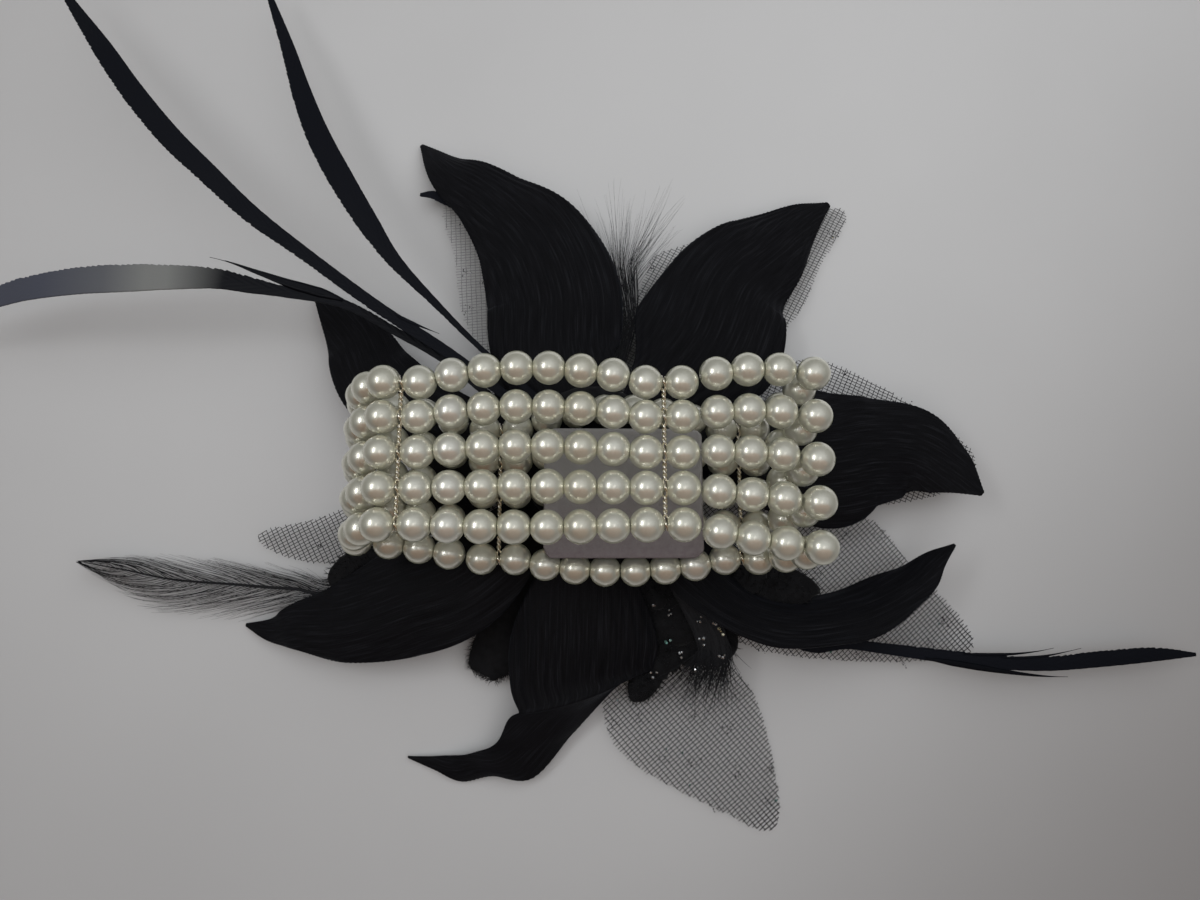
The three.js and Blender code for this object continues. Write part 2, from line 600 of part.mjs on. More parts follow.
const tulleLeaves = {
  tulle_leaf_top_left: {
    heading: 117, rootZ: -14, fall: 0.11,
    corners: [[-5, 32], [-17, 54], [-36, 66], [-33, 52], [-30, 36], [-19, 18]],
  },
  tulle_leaf_top_right: {
    heading: 52, rootZ: -14, fall: 0.11,
    corners: [[22, 14], [45, 34], [54, 50], [60, 66], [22, 55], [12, 46]],
  },
  tulle_leaf_right: {
    heading: 10, rootZ: -13.4, fall: 0.105,
    corners: [[40, -7], [74, -6], [88, 4], [67, 20], [47, 26], [27, 14]],
  },
  tulle_leaf_lower_right: {
    heading: -28, rootZ: -15.2, fall: 0.1,
    corners: [[18, -21], [36, -39], [84, -40], [71, -20], [59, -9], [33, -8]],
  },
  tulle_leaf_bottom: {
    heading: -67, rootZ: -16.2, fall: 0.097,
    corners: [[3, -30], [4, -58], [27, -73], [40, -76], [36, -51], [27, -39], [15, -21]],
  },
  tulle_leaf_left: {
    heading: 191, rootZ: -14, fall: 0.11,
    corners: [[-34, 3], [-58, -9], [-76, -14], [-64, -20], [-40, -18]],
  },
};
for (const [name, leaf] of Object.entries(tulleLeaves)) {
  addPiece(flower, name, tulleLeaf(leaf), tulleFinish);
}

// Stamens with stone-set tips, fused where they leave the post
function stamen(hub, tip) {
  const middle = hub.clone().lerp(tip, 0.5);
  middle.z += STAMEN_DIAMETER;
  const path = new THREE.QuadraticBezierCurve3(hub, middle, tip);
  const ring = Array.from({ length: STAMEN_SIDES }, (_, k) => (
    direction((360 * k) / STAMEN_SIDES).multiplyScalar(STAMEN_DIAMETER / 2)));
  const stalkOptions = { steps: STAMEN_STEPS, extrudePath: path, bevelEnabled: false };
  const stalk = new THREE.ExtrudeGeometry(new THREE.Shape(ring), stalkOptions);
  const knob = new THREE.IcosahedronGeometry(STAMEN_TIP_DIAMETER / 2, 0).translate(tip.x, tip.y, tip.z);
  return solid(stalk).add(solid(knob));
}

const stamenTips = [
  [15, -45, -17], [15, -37, -16], [21, -42, -17], [14.5, -30, -14], [21.5, -35, -16.5],
];
const hubPlace = direction(STAMEN_HUB_HEADING).multiplyScalar(ROOT_RADIUS * STAMEN_HUB_REACH);
const hub = new THREE.Vector3(hubPlace.x, hubPlace.y, STAMEN_HUB_Z);
const knot = solid(new THREE.IcosahedronGeometry(STAMEN_DIAMETER, 1).translate(hub.x, hub.y, hub.z));
const stamens = stamenTips.reduce((sum, tip) => sum.add(stamen(hub, new THREE.Vector3(...tip))), knot);
addPiece(flower, 'crystal_stamens', surface(stamens), stamenFinish);

export default corsage;
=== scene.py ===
"""Wrist corsage: the looks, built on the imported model's frame."""
import bisect
import json
import math
import random

import bpy
from mathutils import Matrix, Vector, noise


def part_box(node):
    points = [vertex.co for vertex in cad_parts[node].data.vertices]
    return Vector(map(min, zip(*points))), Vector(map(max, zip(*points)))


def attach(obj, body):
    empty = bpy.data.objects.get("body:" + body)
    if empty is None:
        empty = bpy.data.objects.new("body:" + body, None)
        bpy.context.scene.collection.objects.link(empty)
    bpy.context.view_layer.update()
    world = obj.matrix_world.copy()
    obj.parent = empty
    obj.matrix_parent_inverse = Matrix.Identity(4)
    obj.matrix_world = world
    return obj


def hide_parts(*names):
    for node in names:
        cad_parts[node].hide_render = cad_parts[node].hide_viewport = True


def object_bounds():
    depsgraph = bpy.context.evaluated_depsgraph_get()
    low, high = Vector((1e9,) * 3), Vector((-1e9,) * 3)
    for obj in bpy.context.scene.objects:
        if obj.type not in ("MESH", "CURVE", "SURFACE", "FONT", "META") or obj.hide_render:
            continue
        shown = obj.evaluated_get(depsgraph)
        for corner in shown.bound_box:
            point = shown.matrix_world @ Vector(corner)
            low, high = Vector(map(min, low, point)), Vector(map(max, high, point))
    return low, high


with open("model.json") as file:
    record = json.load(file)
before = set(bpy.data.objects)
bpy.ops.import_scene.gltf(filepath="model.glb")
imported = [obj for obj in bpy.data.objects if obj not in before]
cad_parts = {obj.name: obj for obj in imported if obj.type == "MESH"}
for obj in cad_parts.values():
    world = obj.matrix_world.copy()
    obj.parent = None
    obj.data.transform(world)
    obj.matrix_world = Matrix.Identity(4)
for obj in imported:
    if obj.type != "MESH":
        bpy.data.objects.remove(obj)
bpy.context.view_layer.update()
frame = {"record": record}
draw = random.Random(20)

# Shapes are worked out in millimetres and written to the meshes in metres
MM = 0.001
LIFT = Vector((0, 0, 1))

# Camera: place above the pad, lean from straight down and field, matched to the photograph
CAMERA_PLACE = Vector((-4.5, -19.5, 156.8)) * MM
CAMERA_LEAN = math.radians(10)
CAMERA_LENS = 24.75
CAMERA_SENSOR = 36

# Bracelet
PEARL_DIAMETER = 6.2
PEARL_FLAT = 0.2
PEARL_PITCH = PEARL_DIAMETER - 2 * PEARL_FLAT
BAR_STEP = 6.54
HINGE_STEP = 6.3
END_BOW = 1.6
PANEL_PEARLS = 8
LINK_PEARLS = 3
STRANDS = 5
STRAND_PITCH = 6.4
ELASTIC_RADIUS = 0.32

# Flower sheets
PETAL_THICKNESS = 0.32
PETAL_CUP = 0.2
NET_PITCHES = (1.12, 0.73)
NET_THREAD = 0.16


# Geometry helpers

def circle(sides, start=0.0):
    """The cosine and sine of evenly spaced turns."""
    turns = [start + math.tau * n / sides for n in range(sides)]
    return [(math.cos(turn), math.sin(turn)) for turn in turns]


class Shape:
    """Points in millimetres, faces and a flat coordinate for each point, gathered bit by bit."""

    def __init__(self):
        self.points = []
        self.faces = []
        self.flat = []

    def add(self, points, faces, flat=None):
        first = len(self.points)
        self.points += points
        self.faces += [[first + k for k in face] for face in faces]
        self.flat += flat or [(0.0, 0.0)] * len(points)

    def skin(self, rings, downward=False):
        """A closed skin over rings of points, with flat ends. downward says that the rings go down."""
        sides = len(rings[0])
        last = sides * (len(rings) - 1)
        faces = []
        for row in range(0, last, sides):
            for n in range(sides):
                after = (n + 1) % sides
                faces.append((row + n, row + after, row + sides + after, row + sides + n))
        faces.append(tuple(reversed(range(sides))))
        faces.append(tuple(range(last, last + sides)))
        if downward:
            faces = [tuple(reversed(face)) for face in faces]
        self.add([p for ring in rings for p in ring], faces)

    def tube(self, line, across, upright=None, sides=6, side_hint=LIFT):
        """A closed tube along a line. across and upright are its half sizes at each point."""
        upright = upright or across
        spokes = circle(sides)
        rings = []
        for k, here in enumerate(line):
            along = (line[min(k + 1, len(line) - 1)] - line[max(k - 1, 0)]).normalized()
            side = side_hint.cross(along)
            side = side.normalized() if side.length > 1e-6 else along.orthogonal().normalized()
            up = along.cross(side)
            rings.append([here + side * across[k] * c + up * upright[k] * s for c, s in spokes])
        self.skin(rings)

    def sheet(self, grid, thickness, flat):
        """A closed thin sheet on a grid of points."""
        rows = len(grid)
        columns = len(grid[0])
        count = rows * columns
        top = []
        under = []
        for r, line in enumerate(grid):
            for c, here in enumerate(line):
                down = grid[min(r + 1, rows - 1)][c] - grid[max(r - 1, 0)][c]
                over = line[min(c + 1, columns - 1)] - line[max(c - 1, 0)]
                offset = over.cross(down).normalized() * (thickness / 2)
                top.append(here - offset)
                under.append(here + offset)
        faces = []
        for r in range(rows - 1):
            for k in range(r * columns, (r + 1) * columns - 1):
                quad = (k, k + 1, k + columns + 1, k + columns)
                faces.append(tuple(reversed(quad)))
                faces.append(tuple(count + n for n in quad))
        rim = list(range(columns))
        rim += range(2 * columns - 1, count, columns)
        rim += range(count - 2, count - columns - 1, -1)
        rim += range(count - 2 * columns, 0, -columns)
        for here, after in zip(rim, rim[1:] + rim[:1]):
            faces.append((here, after, count + after, count + here))
        self.add(top + under, faces, flat * 2)


def piece(name, shape, material, body, stands_for=(), smooth=True):
    """A mesh piece that rides on a body and may stand for CAD nodes, which it hides."""
    mesh = bpy.data.meshes.new(name)
    mesh.from_pydata([tuple(p * MM) for p in shape.points], [], shape.faces)
    layer = mesh.uv_layers.new(name="flat")
    for loop in mesh.loops:
        layer.data[loop.index].uv = shape.flat[loop.vertex_index]
    mesh.polygons.foreach_set("use_smooth", [smooth] * len(mesh.polygons))
    mesh.materials.append(material)
    made = bpy.data.objects.new(name, mesh)
    bpy.context.collection.objects.link(made)
    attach(made, body)
    for node in stands_for:
        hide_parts(node)
    return made


def flower_piece(name, shape, material, stands_for=(), smooth=True):
    return piece(name, shape, material, "flower_side", stands_for, smooth)


def node_box(node):
    return [Vector(corner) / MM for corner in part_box(node)]


def smooth_noise(*place):
    """A random number from -1 to 1 that changes smoothly from place to place."""
    return noise.noise(Vector(place))


def stray(limit):
    """A random shift, as far as the limit along each axis."""
    return Vector([draw.uniform(-limit, limit) for _ in range(3)])


def flat_stray(limit):
    """A random shift in x and y."""
    return Vector((draw.uniform(-limit, limit), draw.uniform(-limit, limit), 0))


def curve_through(points):
    """A smooth curve through points of any size, as a function from 0 to 1."""
    points = [Vector(p) for p in points]
    ends = [2 * points[0] - points[1], *points, 2 * points[-1] - points[-2]]
    spans = len(points) - 1

    def at(share):
        span = min(int(share * spans), spans - 1)
        t = share * spans - span
        a, b, c, d = ends[span:span + 4]
        start = (c - a) * 0.5
        stop = (d - b) * 0.5
        squared = 3 * (c - b) - 2 * start - stop
        cubed = 2 * (b - c) + start + stop
        return b + start * t + squared * t ** 2 + cubed * t ** 3

    return at


class Spine:
    """A sheet's middle line. Each station holds x, y, z and half the width, from the flower's middle."""

    STEPS = 240
    HEADING_STEP = 0.002
    NARROWEST = 0.2

    def __init__(self, stations, roll=0.0):
        self.curve = curve_through(stations)
        self.roll = roll
        self.measure()

    def measure(self):
        self.shares = [k / self.STEPS for k in range(self.STEPS + 1)]
        self.reach = [0.0]
        for before, after in zip(self.shares, self.shares[1:]):
            self.reach.append(self.reach[-1] + (self.middle(after) - self.middle(before)).length)
        self.length = self.reach[-1]

    def middle(self, share):
        return self.curve(share).xyz

    def heading(self, share):
        ahead = self.middle(min(share + self.HEADING_STEP, 1))
        return (ahead - self.middle(max(share - self.HEADING_STEP, 0))).normalized()

    def share_at(self, reach):
        reach = min(max(reach, 0.0), self.length)
        low = min(bisect.bisect_right(self.reach, reach), self.STEPS) - 1
        span = self.reach[low + 1] - self.reach[low]
        return (low + (reach - self.reach[low]) / span) / self.STEPS

    def frame(self, share):
        """The point, the direction, the sideways and upward directions and half the width."""
        along = self.heading(share)
        side = Vector((-along.y, along.x, 0)).normalized()
        side = Matrix.Rotation(self.roll * min(1, 3 * share), 3, along) @ side
        half = max(self.curve(share).w, self.NARROWEST)
        return FLOWER + self.middle(share), along, side, along.cross(side), half

    def frame_at(self, reach):
        return self.frame(self.share_at(reach))

    def area(self):
        steps = range(self.STEPS)
        return sum(2 * self.frame(self.shares[k])[4] * (self.reach[k + 1] - self.reach[k]) for k in steps)

    def width(self):
        return 2 * max(self.frame(share)[4] for share in self.shares)


class EdgedSheet(Spine):
    """A sheet between a left and a right edge, used like a spine."""

    def __init__(self, rows):
        self.left = curve_through([row[0] for row in rows])
        self.right = curve_through([row[1] for row in rows])
        self.measure()

    def middle(self, share):
        return (self.left(share) + self.right(share)) / 2

    def frame(self, share):
        along = self.heading(share)
        span = self.right(share) - self.left(share)
        up = along.cross(span).normalized()
        half = max(span.length / 2, self.NARROWEST)
        return FLOWER + self.middle(share), along, span.normalized(), up, half


# Materials

def set_values(node, **values):
    """Sets a node's sockets and settings by name. In a socket's name an underscore stands for a space."""
    for key, value in values.items():
        socket = key.replace("_", " ")
        if socket in node.inputs:
            node.inputs[socket].default_value = value
        else:
            setattr(node, key, value)


def add_node(tree, kind, *sources, **values):
    """A shader node with its values. The sources are linked to its first sockets."""
    node = tree.nodes.new("ShaderNode" + kind)
    for socket, source in zip(node.inputs, sources):
        tree.links.new(source, socket)
    set_values(node, **values)
    return node


def coordinates(tree, kind):
    return add_node(tree, "TexCoord").outputs[kind]


def ramp_colours(tree, factor, stops):
    """A colour for each place of a factor between 0 and 1."""
    ramp = add_node(tree, "ValToRGB", factor)
    elements = ramp.color_ramp.elements
    first, *between, last = stops
    for element, (place, colour) in zip(elements, (first, last)):
        element.position = place
        element.color = (*colour, 1)
    for place, colour in between:
        elements.new(place).color = (*colour, 1)
    return ramp.outputs["Color"]


def mix_colours(tree, factor, first, second):
    mix = add_node(tree, "Mix", factor, data_type="RGBA", B=(*second, 1))
    tree.links.new(first, mix.inputs["A"])
    return mix.outputs["Result"]


def smooth_step(tree, value, low, high, least=0.0):
    """Rises from the least to 1 while a value rises from low to high."""
    step = add_node(
        tree, "MapRange", value, interpolation_type="SMOOTHSTEP", From_Min=low, From_Max=high, To_Min=least)
    return step.outputs["Result"]


class Finish:
    """A principled material, with short ways to add its textures."""

    def __init__(self, name, **sockets):
        self.material = bpy.data.materials.new(name)
        self.material.use_nodes = True
        self.tree = self.material.node_tree
        self.shader = self.tree.nodes["Principled BSDF"]
        set_values(self.shader, **sockets)

    def drive(self, socket, source):
        self.tree.links.new(source, self.shader.inputs[socket])

    def fleck(self, scale, **values):
        """A noise in the object's own space."""
        place = coordinates(self.tree, "Object")
        return add_node(self.tree, "TexNoise", place, Scale=scale, **values).outputs["Fac"]

    def islands(self):
        """A random value for each separate bit of the mesh."""
        return add_node(self.tree, "NewGeometry").outputs["Random Per Island"]

    def colours(self, factor, *stops):
        self.drive("Base Color", ramp_colours(self.tree, factor, stops))

    def spread_roughness(self, factor, low, high):
        span = add_node(self.tree, "MapRange", factor, To_Min=low, To_Max=high)
        self.drive("Roughness", span.outputs["Result"])

    def bump(self, height, strength, distance, before=None):
        bump = add_node(self.tree, "Bump", Strength=strength, Distance=distance)
        self.tree.links.new(height, bump.inputs["Height"])
        if before:
            self.tree.links.new(before.outputs["Normal"], bump.inputs["Normal"])
        self.drive("Normal", bump.outputs["Normal"])
        return bump


def pearl_material():
    """A lustrous ivory skin: a soft mirror layer under a clear coat, paler and greener towards its rim."""
    pearl = Finish(
        "pearl", Metallic=0.78, Coat_Weight=1.0, Coat_Roughness=0.05, Coat_IOR=1.75, Specular_IOR_Level=0.5,
        Sheen_Weight=0.22, Sheen_Roughness=0.4, Sheen_Tint=(0.85, 0.88, 0.55, 1))
    pearl.colours(pearl.islands(), (0.0, (0.74, 0.72, 0.60)), (0.5, (0.78, 0.77, 0.66)),
                  (1.0, (0.82, 0.81, 0.72)))
    skin = pearl.fleck(520.0, Detail=3.0)
    pearl.spread_roughness(skin, 0.26, 0.36)
    pearl.bump(skin, 0.05, 0.0002)
    return pearl.material


def wire_material():
    wire = Finish("silver_wire", Metallic=1.0)
    wear = wire.fleck(900.0, Detail=4.0)
    wire.colours(wear, (0.3, (0.8, 0.75, 0.6)), (0.7, (0.95, 0.92, 0.84)))
    wire.spread_roughness(wear, 0.1, 0.22)
    return wire.material


def elastic_material():
    elastic = Finish("elastic", Roughness=0.3, Coat_Weight=0.3)
    elastic.colours(elastic.fleck(700.0), (0.2, (0.34, 0.33, 0.28)), (0.8, (0.46, 0.45, 0.4)))
    return elastic.material


FELT_GRAIN = {"Detail": 6.0, "Roughness": 0.7}
FELT_BUMP = (0.5, 0.0003)


def felt_material(name, dark, light, fibre):
    felt = Finish(name, Roughness=0.9, Specular_IOR_Level=0.2, Sheen_Weight=0.04, Sheen_Roughness=0.5)
    fleck = felt.fleck(fibre, **FELT_GRAIN)
    felt.colours(fleck, (0.3, dark), (0.7, light))
    felt.bump(fleck, *FELT_BUMP)
    return felt.material


def pad_material():
    """Grey felt, with painted shade that darkens it towards its lower edge."""
    fleck_share = 0.3
    pad = Finish("pad_felt", Roughness=0.9, Specular_IOR_Level=0.2)
    fleck = pad.fleck(900.0, **FELT_GRAIN)
    # Painted shade: the felt's colour follows its height across the face and is darkest at the lower edge
    rise = add_node(pad.tree, "SeparateXYZ", coordinates(pad.tree, "Generated"))
    fleck_and_painted_shade = add_node(pad.tree, "Math", fleck, operation="MULTIPLY_ADD")
    fleck_and_painted_shade.inputs[1].default_value = fleck_share
    pad.tree.links.new(rise.outputs["Y"], fleck_and_painted_shade.inputs[2])
    pad.colours(fleck_and_painted_shade.outputs["Value"],
                (0.1, (0.14, 0.115, 0.12)), (0.45, (0.27, 0.25, 0.25)), (0.8, (0.37, 0.355, 0.35)))
    pad.bump(fleck, *FELT_BUMP)
    return pad.material


def satin_material():
    """Woven black satin: a fine lengthwise rib, a cross thread, and faint lengthwise bands of painted sheen
    in its colour.
    """
    satin = Finish("black_satin", Specular_IOR_Level=0.1, Sheen_Weight=0.03, Sheen_Roughness=0.45,
                   Sheen_Tint=(0.7, 0.78, 1.0, 1))
    flat = coordinates(satin.tree, "UV")
    stretch = add_node(satin.tree, "Mapping", flat, Scale=(3.0, 0.12, 1.0))
    painted_sheen_streak = add_node(satin.tree, "TexNoise", stretch.outputs["Vector"], Scale=0.9, Detail=5.0)
    # Painted sheen: lighter bands in the base colour stand in for light glancing off the satin
    satin.colours(painted_sheen_streak.outputs["Fac"], (0.3, (0.0016, 0.0016, 0.0022)), (0.55, (0.0038, 0.0038, 0.005)),
                  (0.8, (0.0135, 0.014, 0.017)))
    satin.spread_roughness(painted_sheen_streak.outputs["Fac"], 0.5, 0.72)
    rib = add_node(satin.tree, "TexWave", flat, Scale=0.75, Distortion=0.6, bands_direction="X")
    cross = add_node(satin.tree, "TexWave", flat, Scale=0.9, Distortion=0.4, bands_direction="Y")
    first = satin.bump(rib.outputs["Fac"], 0.25, 0.00012)
    satin.bump(cross.outputs["Fac"], 0.18, 0.0001, first)
    return satin.material


def feather_material(name, dark, light, roughness, sheen):
    feather = Finish(name, Specular_IOR_Level=0.1, Sheen_Weight=sheen, Sheen_Roughness=0.35,
                     Sheen_Tint=(0.75, 0.84, 1.0, 1))
    feather.colours(feather.islands(), (0.0, dark), (1.0, light))
    feather.spread_roughness(feather.fleck(160.0, Detail=3.0), roughness - 0.1, roughness + 0.12)
    return feather.material


def painted_sheen_quill_material(length):
    """A black quill with a painted grey sheen, a painted highlight, on its outer part, fading but still
    lighter towards the tip. Stops are shares of the feather's length.
    """
    dark = (0.0035, 0.004, 0.006)
    grey = (0.17, 0.174, 0.168)
    quill = Finish("painted_sheen_quill", Roughness=0.5, Specular_IOR_Level=0.12)
    # Painted sheen: the colour turns grey where light glances off the curved feather, then fades towards the
    # tip
    flat = add_node(quill.tree, "SeparateXYZ", coordinates(quill.tree, "UV"))
    share = add_node(quill.tree, "MapRange", flat.outputs["Y"], From_Max=length)
    quill.colours(share.outputs["Result"], (0.53, dark), (0.61, grey), (0.64, grey),
                  (0.7, (0.1, 0.104, 0.114)), (0.8, (0.068, 0.073, 0.095)))
    return quill.material


def tulle_material(name, dark, light):
    tulle = Finish(name, Roughness=0.6, Specular_IOR_Level=0.3)
    tulle.colours(tulle.fleck(1400.0), (0.3, dark), (0.75, light))
    return tulle.material


def stone_material(name, colour):
    stone = Finish(name, Roughness=0.12, Metallic=0.85, Coat_Weight=0.5)
    halfway_to_white = [c + (1 - c) * 0.5 for c in colour]
    stone.colours(stone.islands(), (0.0, colour), (1.0, halfway_to_white))
    return stone.material


# The pale backdrop, and how far from the part the table begins and ends to fade into it, in metres
BACKDROP = (0.62, 0.63, 0.64)
TABLE_FADE = (0.21, 0.4)


def table_material():
    """A pale table that the camera sees fade into the backdrop, far from the part."""
    table = Finish("pale_table", Roughness=0.55)
    table.colours(table.fleck(9.0, Detail=5.0), (0.3, (0.485, 0.482, 0.48)), (0.7, (0.52, 0.517, 0.515)))
    tree = table.tree
    reach = add_node(tree, "VectorMath", coordinates(tree, "Object"), operation="LENGTH")
    fade = smooth_step(tree, reach.outputs["Value"], *TABLE_FADE)
    seen = add_node(tree, "LightPath").outputs["Is Camera Ray"]
    share = add_node(tree, "Math", fade, seen, operation="MULTIPLY").outputs["Value"]
    backdrop = add_node(tree, "Emission", Color=(*BACKDROP, 1)).outputs["Emission"]
    mix = add_node(tree, "MixShader", share, table.shader.outputs["BSDF"], backdrop)
    tree.links.new(mix.outputs["Shader"], tree.nodes["Material Output"].inputs["Surface"])
    return table.material


PEARL = pearl_material()
WIRE = wire_material()
ELASTIC = elastic_material()
PAD_FELT = pad_material()
BLACK_FELT = felt_material("black_felt", (0.004, 0.004, 0.005), (0.012, 0.012, 0.013), 700.0)
SATIN = satin_material()
QUILL = feather_material("quill_feather", (0.0025, 0.003, 0.005), (0.0045, 0.0055, 0.009), 0.55, 0.012)
# The quill of the third long feather, with a painted sheen on its outer part
PAINTED_SHEEN_QUILL = painted_sheen_quill_material(150.0)
DOWN = feather_material("soft_down", (0.008, 0.008, 0.009), (0.02, 0.02, 0.022), 0.65, 0.02)
VELVET = felt_material("black_velvet", (0.002, 0.002, 0.0025), (0.007, 0.007, 0.008), 500.0)
TULLE = tulle_material("black_tulle", (0.012, 0.012, 0.013), (0.035, 0.034, 0.036))
THIN_TULLE = tulle_material("thin_tulle", (0.05, 0.051, 0.052), (0.11, 0.112, 0.112))
PALE_TULLE = tulle_material("pale_tulle", (0.2, 0.202, 0.202), (0.36, 0.362, 0.36))
STONES = [
    stone_material("clear_stone", (0.3, 0.32, 0.33)),
    stone_material("teal_stone", (0.2, 0.55, 0.48)),
    stone_material("gold_stone", (0.6, 0.53, 0.3)),
]


# Bracelet: the folded chain of pearls comes from the joints' places

pivots = {joint["name"]: Vector(joint["pos_m"]) / MM for joint in frame["record"]["behaviour"]["joints"]}
flower_left = pivots["band_opening"]
flower_right = pivots["right_fold"]
left_corner = pivots["left_corner"]
right_corner = pivots["right_corner"]
palm_left = pivots["palm_left"]
palm_right = palm_left + flower_right - flower_left

# The middle strand's place across the band at each panel's first end, last end and middle, and how far
# the strands spread in the middle
FLOWER_BAR_Y = 0.3
PALM_BAR_Y = 5.5
PANELS = {
    "flower": (FLOWER_BAR_Y, FLOWER_BAR_Y, 1.2, 1.6),
    "right": (FLOWER_BAR_Y, PALM_BAR_Y, 4.9, 1.5),
    "palm": (PALM_BAR_Y, PALM_BAR_Y, 6.6, 0.8),
    "left": (PALM_BAR_Y, FLOWER_BAR_Y, 4.2, 0.3),
}
PANEL_STEPS = [BAR_STEP] + [PEARL_PITCH] * (PANEL_PEARLS - 1) + [BAR_STEP]
LINK_STEPS = [HINGE_STEP] + [PEARL_PITCH] * (LINK_PEARLS - 1)


def chain(start, stop, steps, bow=0.0):
    """Pearl places along a run. bow pushes the middle of the run out of the loop."""
    along = (stop - start).normalized()
    outward = Vector((along.z, 0, -along.x))
    reach = 0.0
    places = []
    for step in steps:
        reach += step
        share = reach / sum(steps)
        places.append(start + along * reach + outward * bow * 4 * share * (1 - share))
    return places


def across(panel, number, strand):
    """A strand's place across the band at one pearl of a panel."""
    first, last, middle, spread = PANELS[panel]
    share = number / (PANEL_PEARLS - 1)
    swell = 4 * share * (1 - share)
    line = first + (last - first) * share + (middle - (first + last) / 2) * swell
    return line + (STRAND_PITCH + spread * swell) * ((STRANDS - 1) / 2 - strand)


# Each run: the body it rides on, its pearls' places and the panel place of each pearl
spots = {name: [(name, k) for k in range(PANEL_PEARLS)] for name in PANELS}
runs = {
    "flower_side": ("flower_side", [flower_left] + chain(flower_left, flower_right, PANEL_STEPS),
                    spots["left"][-1:] + spots["flower"] + spots["right"][:1]),
    "right_lower": ("right_lower_link", chain(flower_right, right_corner, LINK_STEPS, END_BOW),
                    spots["right"][1:4]),
    "right_upper": ("right_upper_link", chain(right_corner, palm_right, LINK_STEPS), spots["right"][4:7]),
    "palm_side": ("palm_side", [palm_right] + chain(palm_right, palm_left, PANEL_STEPS),
                  spots["right"][-1:] + spots["palm"] + spots["left"][:1]),
    "left_upper": ("left_upper_link", chain(palm_left, left_corner, LINK_STEPS, END_BOW),
                   spots["left"][1:4]),
    "left_lower": ("left_lower_link", chain(left_corner, flower_left, LINK_STEPS), spots["left"][4:7]),
}

PEARL_SIDES = 30
PEARL_RINGS = 18
SIZE_STRAY = (-0.012, 0.004)
PLACE_STRAY = 0.04
SEAM = 0.03
SEAM_CHANCE = 0.3
HOLE_RADIUS = 0.5
HOLE_LIP = 0.06
HOLE_DEPTH = 0.5
HOLE_TAPER = 0.8
# A pearl's end where no pearl touches it, at a hinge or a bar
OPEN_END = 3.02
ELASTIC_LEAD = 3.08
RUNS_TO_A_PIVOT = ("right_upper", "left_lower")
AFTER_A_CORNER = {"right_lower": "right_upper", "left_upper": "left_lower"}


def pearl_profile(seam, low_end, high_end):
    """Distance along the hole and radius, from one drilled end to the other."""
    radius = PEARL_DIAMETER / 2
    first = math.acos(low_end / radius)
    last = math.pi - math.acos(high_end / radius)
    profile = [(HOLE_DEPTH - low_end, HOLE_RADIUS * HOLE_TAPER), (HOLE_LIP - low_end, HOLE_RADIUS)]
    for k in range(PEARL_RINGS + 1):
        turn = first + (last - first) * k / PEARL_RINGS
        ridge = seam if k == PEARL_RINGS // 2 else 0.0
        profile.append((-radius * math.cos(turn), (radius + ridge) * math.sin(turn)))
    return profile + [(high_end - HOLE_LIP, HOLE_RADIUS), (high_end - HOLE_DEPTH, HOLE_RADIUS * HOLE_TAPER)]


def add_pearl(shape, centre, axis, ends):
    side = axis.orthogonal().normalized()
    up = axis.cross(side)
    size = 1 + draw.uniform(*SIZE_STRAY)
    seam = SEAM if draw.random() < SEAM_CHANCE else 0.0
    spokes = circle(PEARL_SIDES, draw.uniform(0, math.tau))
    rings = []
    for reach, radius in pearl_profile(seam, *ends):
        rings.append([centre + (axis * reach + (side * c + up * s) * radius) * size for c, s in spokes])
    shape.skin(rings)


def pearl_centres(strand, name):
    _, places, panel_spots = runs[name]
    return [Vector((place.x, across(*spot, strand), place.z)) for place, spot in zip(places, panel_spots)]


def build_run(strand, name):
    """One run of pearls and its elastic. A corner pearl's hole lies along the link that comes next."""
    body = runs[name][0]
    centres = pearl_centres(strand, name)
    shape = Shape()
    for k, centre in enumerate(centres):
        before = centres[max(k - 1, 0)]
        after = centres[min(k + 1, len(centres) - 1)]
        low_gap = HINGE_STEP if before is centre else (centre - before).length
        high_gap = HINGE_STEP if after is centre else (after - centre).length
        if after is centre and name in AFTER_A_CORNER:
            before = centre
            after = pearl_centres(strand, AFTER_A_CORNER[name])[0]
            low_gap = HINGE_STEP
        ends = (min(low_gap / 2, OPEN_END), min(high_gap / 2, OPEN_END))
        add_pearl(shape, centre + stray(PLACE_STRAY), (after - before).normalized(), ends)
    piece(f"pearls_{strand + 1}_{name}", shape, PEARL, body, [f"strand_{strand + 1}_{name}"])
    thread = Shape()
    route = list(centres)
    if len(centres) == LINK_PEARLS:
        route.insert(0, centres[0] + (centres[0] - centres[1]).normalized() * ELASTIC_LEAD)
    if name in RUNS_TO_A_PIVOT:
        route.append(centres[-1] + (centres[-1] - centres[-2]).normalized() * ELASTIC_LEAD)
    thread.tube(route, [ELASTIC_RADIUS] * len(route), side_hint=Vector((0.1, 1, 0.2)))
    piece(f"elastic_{strand + 1}_{name}", thread, ELASTIC, body)


for strand_number in range(STRANDS):
    for run_name in runs:
        build_run(strand_number, run_name)


# Spacer bars: two wires twisted together that part into an eye round each strand

WIRE_RADIUS = 0.23
EYE_OPENING = 0.62
EYE_LENGTH = 0.85
TURNS_BETWEEN_EYES = 2.5
BAR_END = 1.1
BAR_POINTS = 260


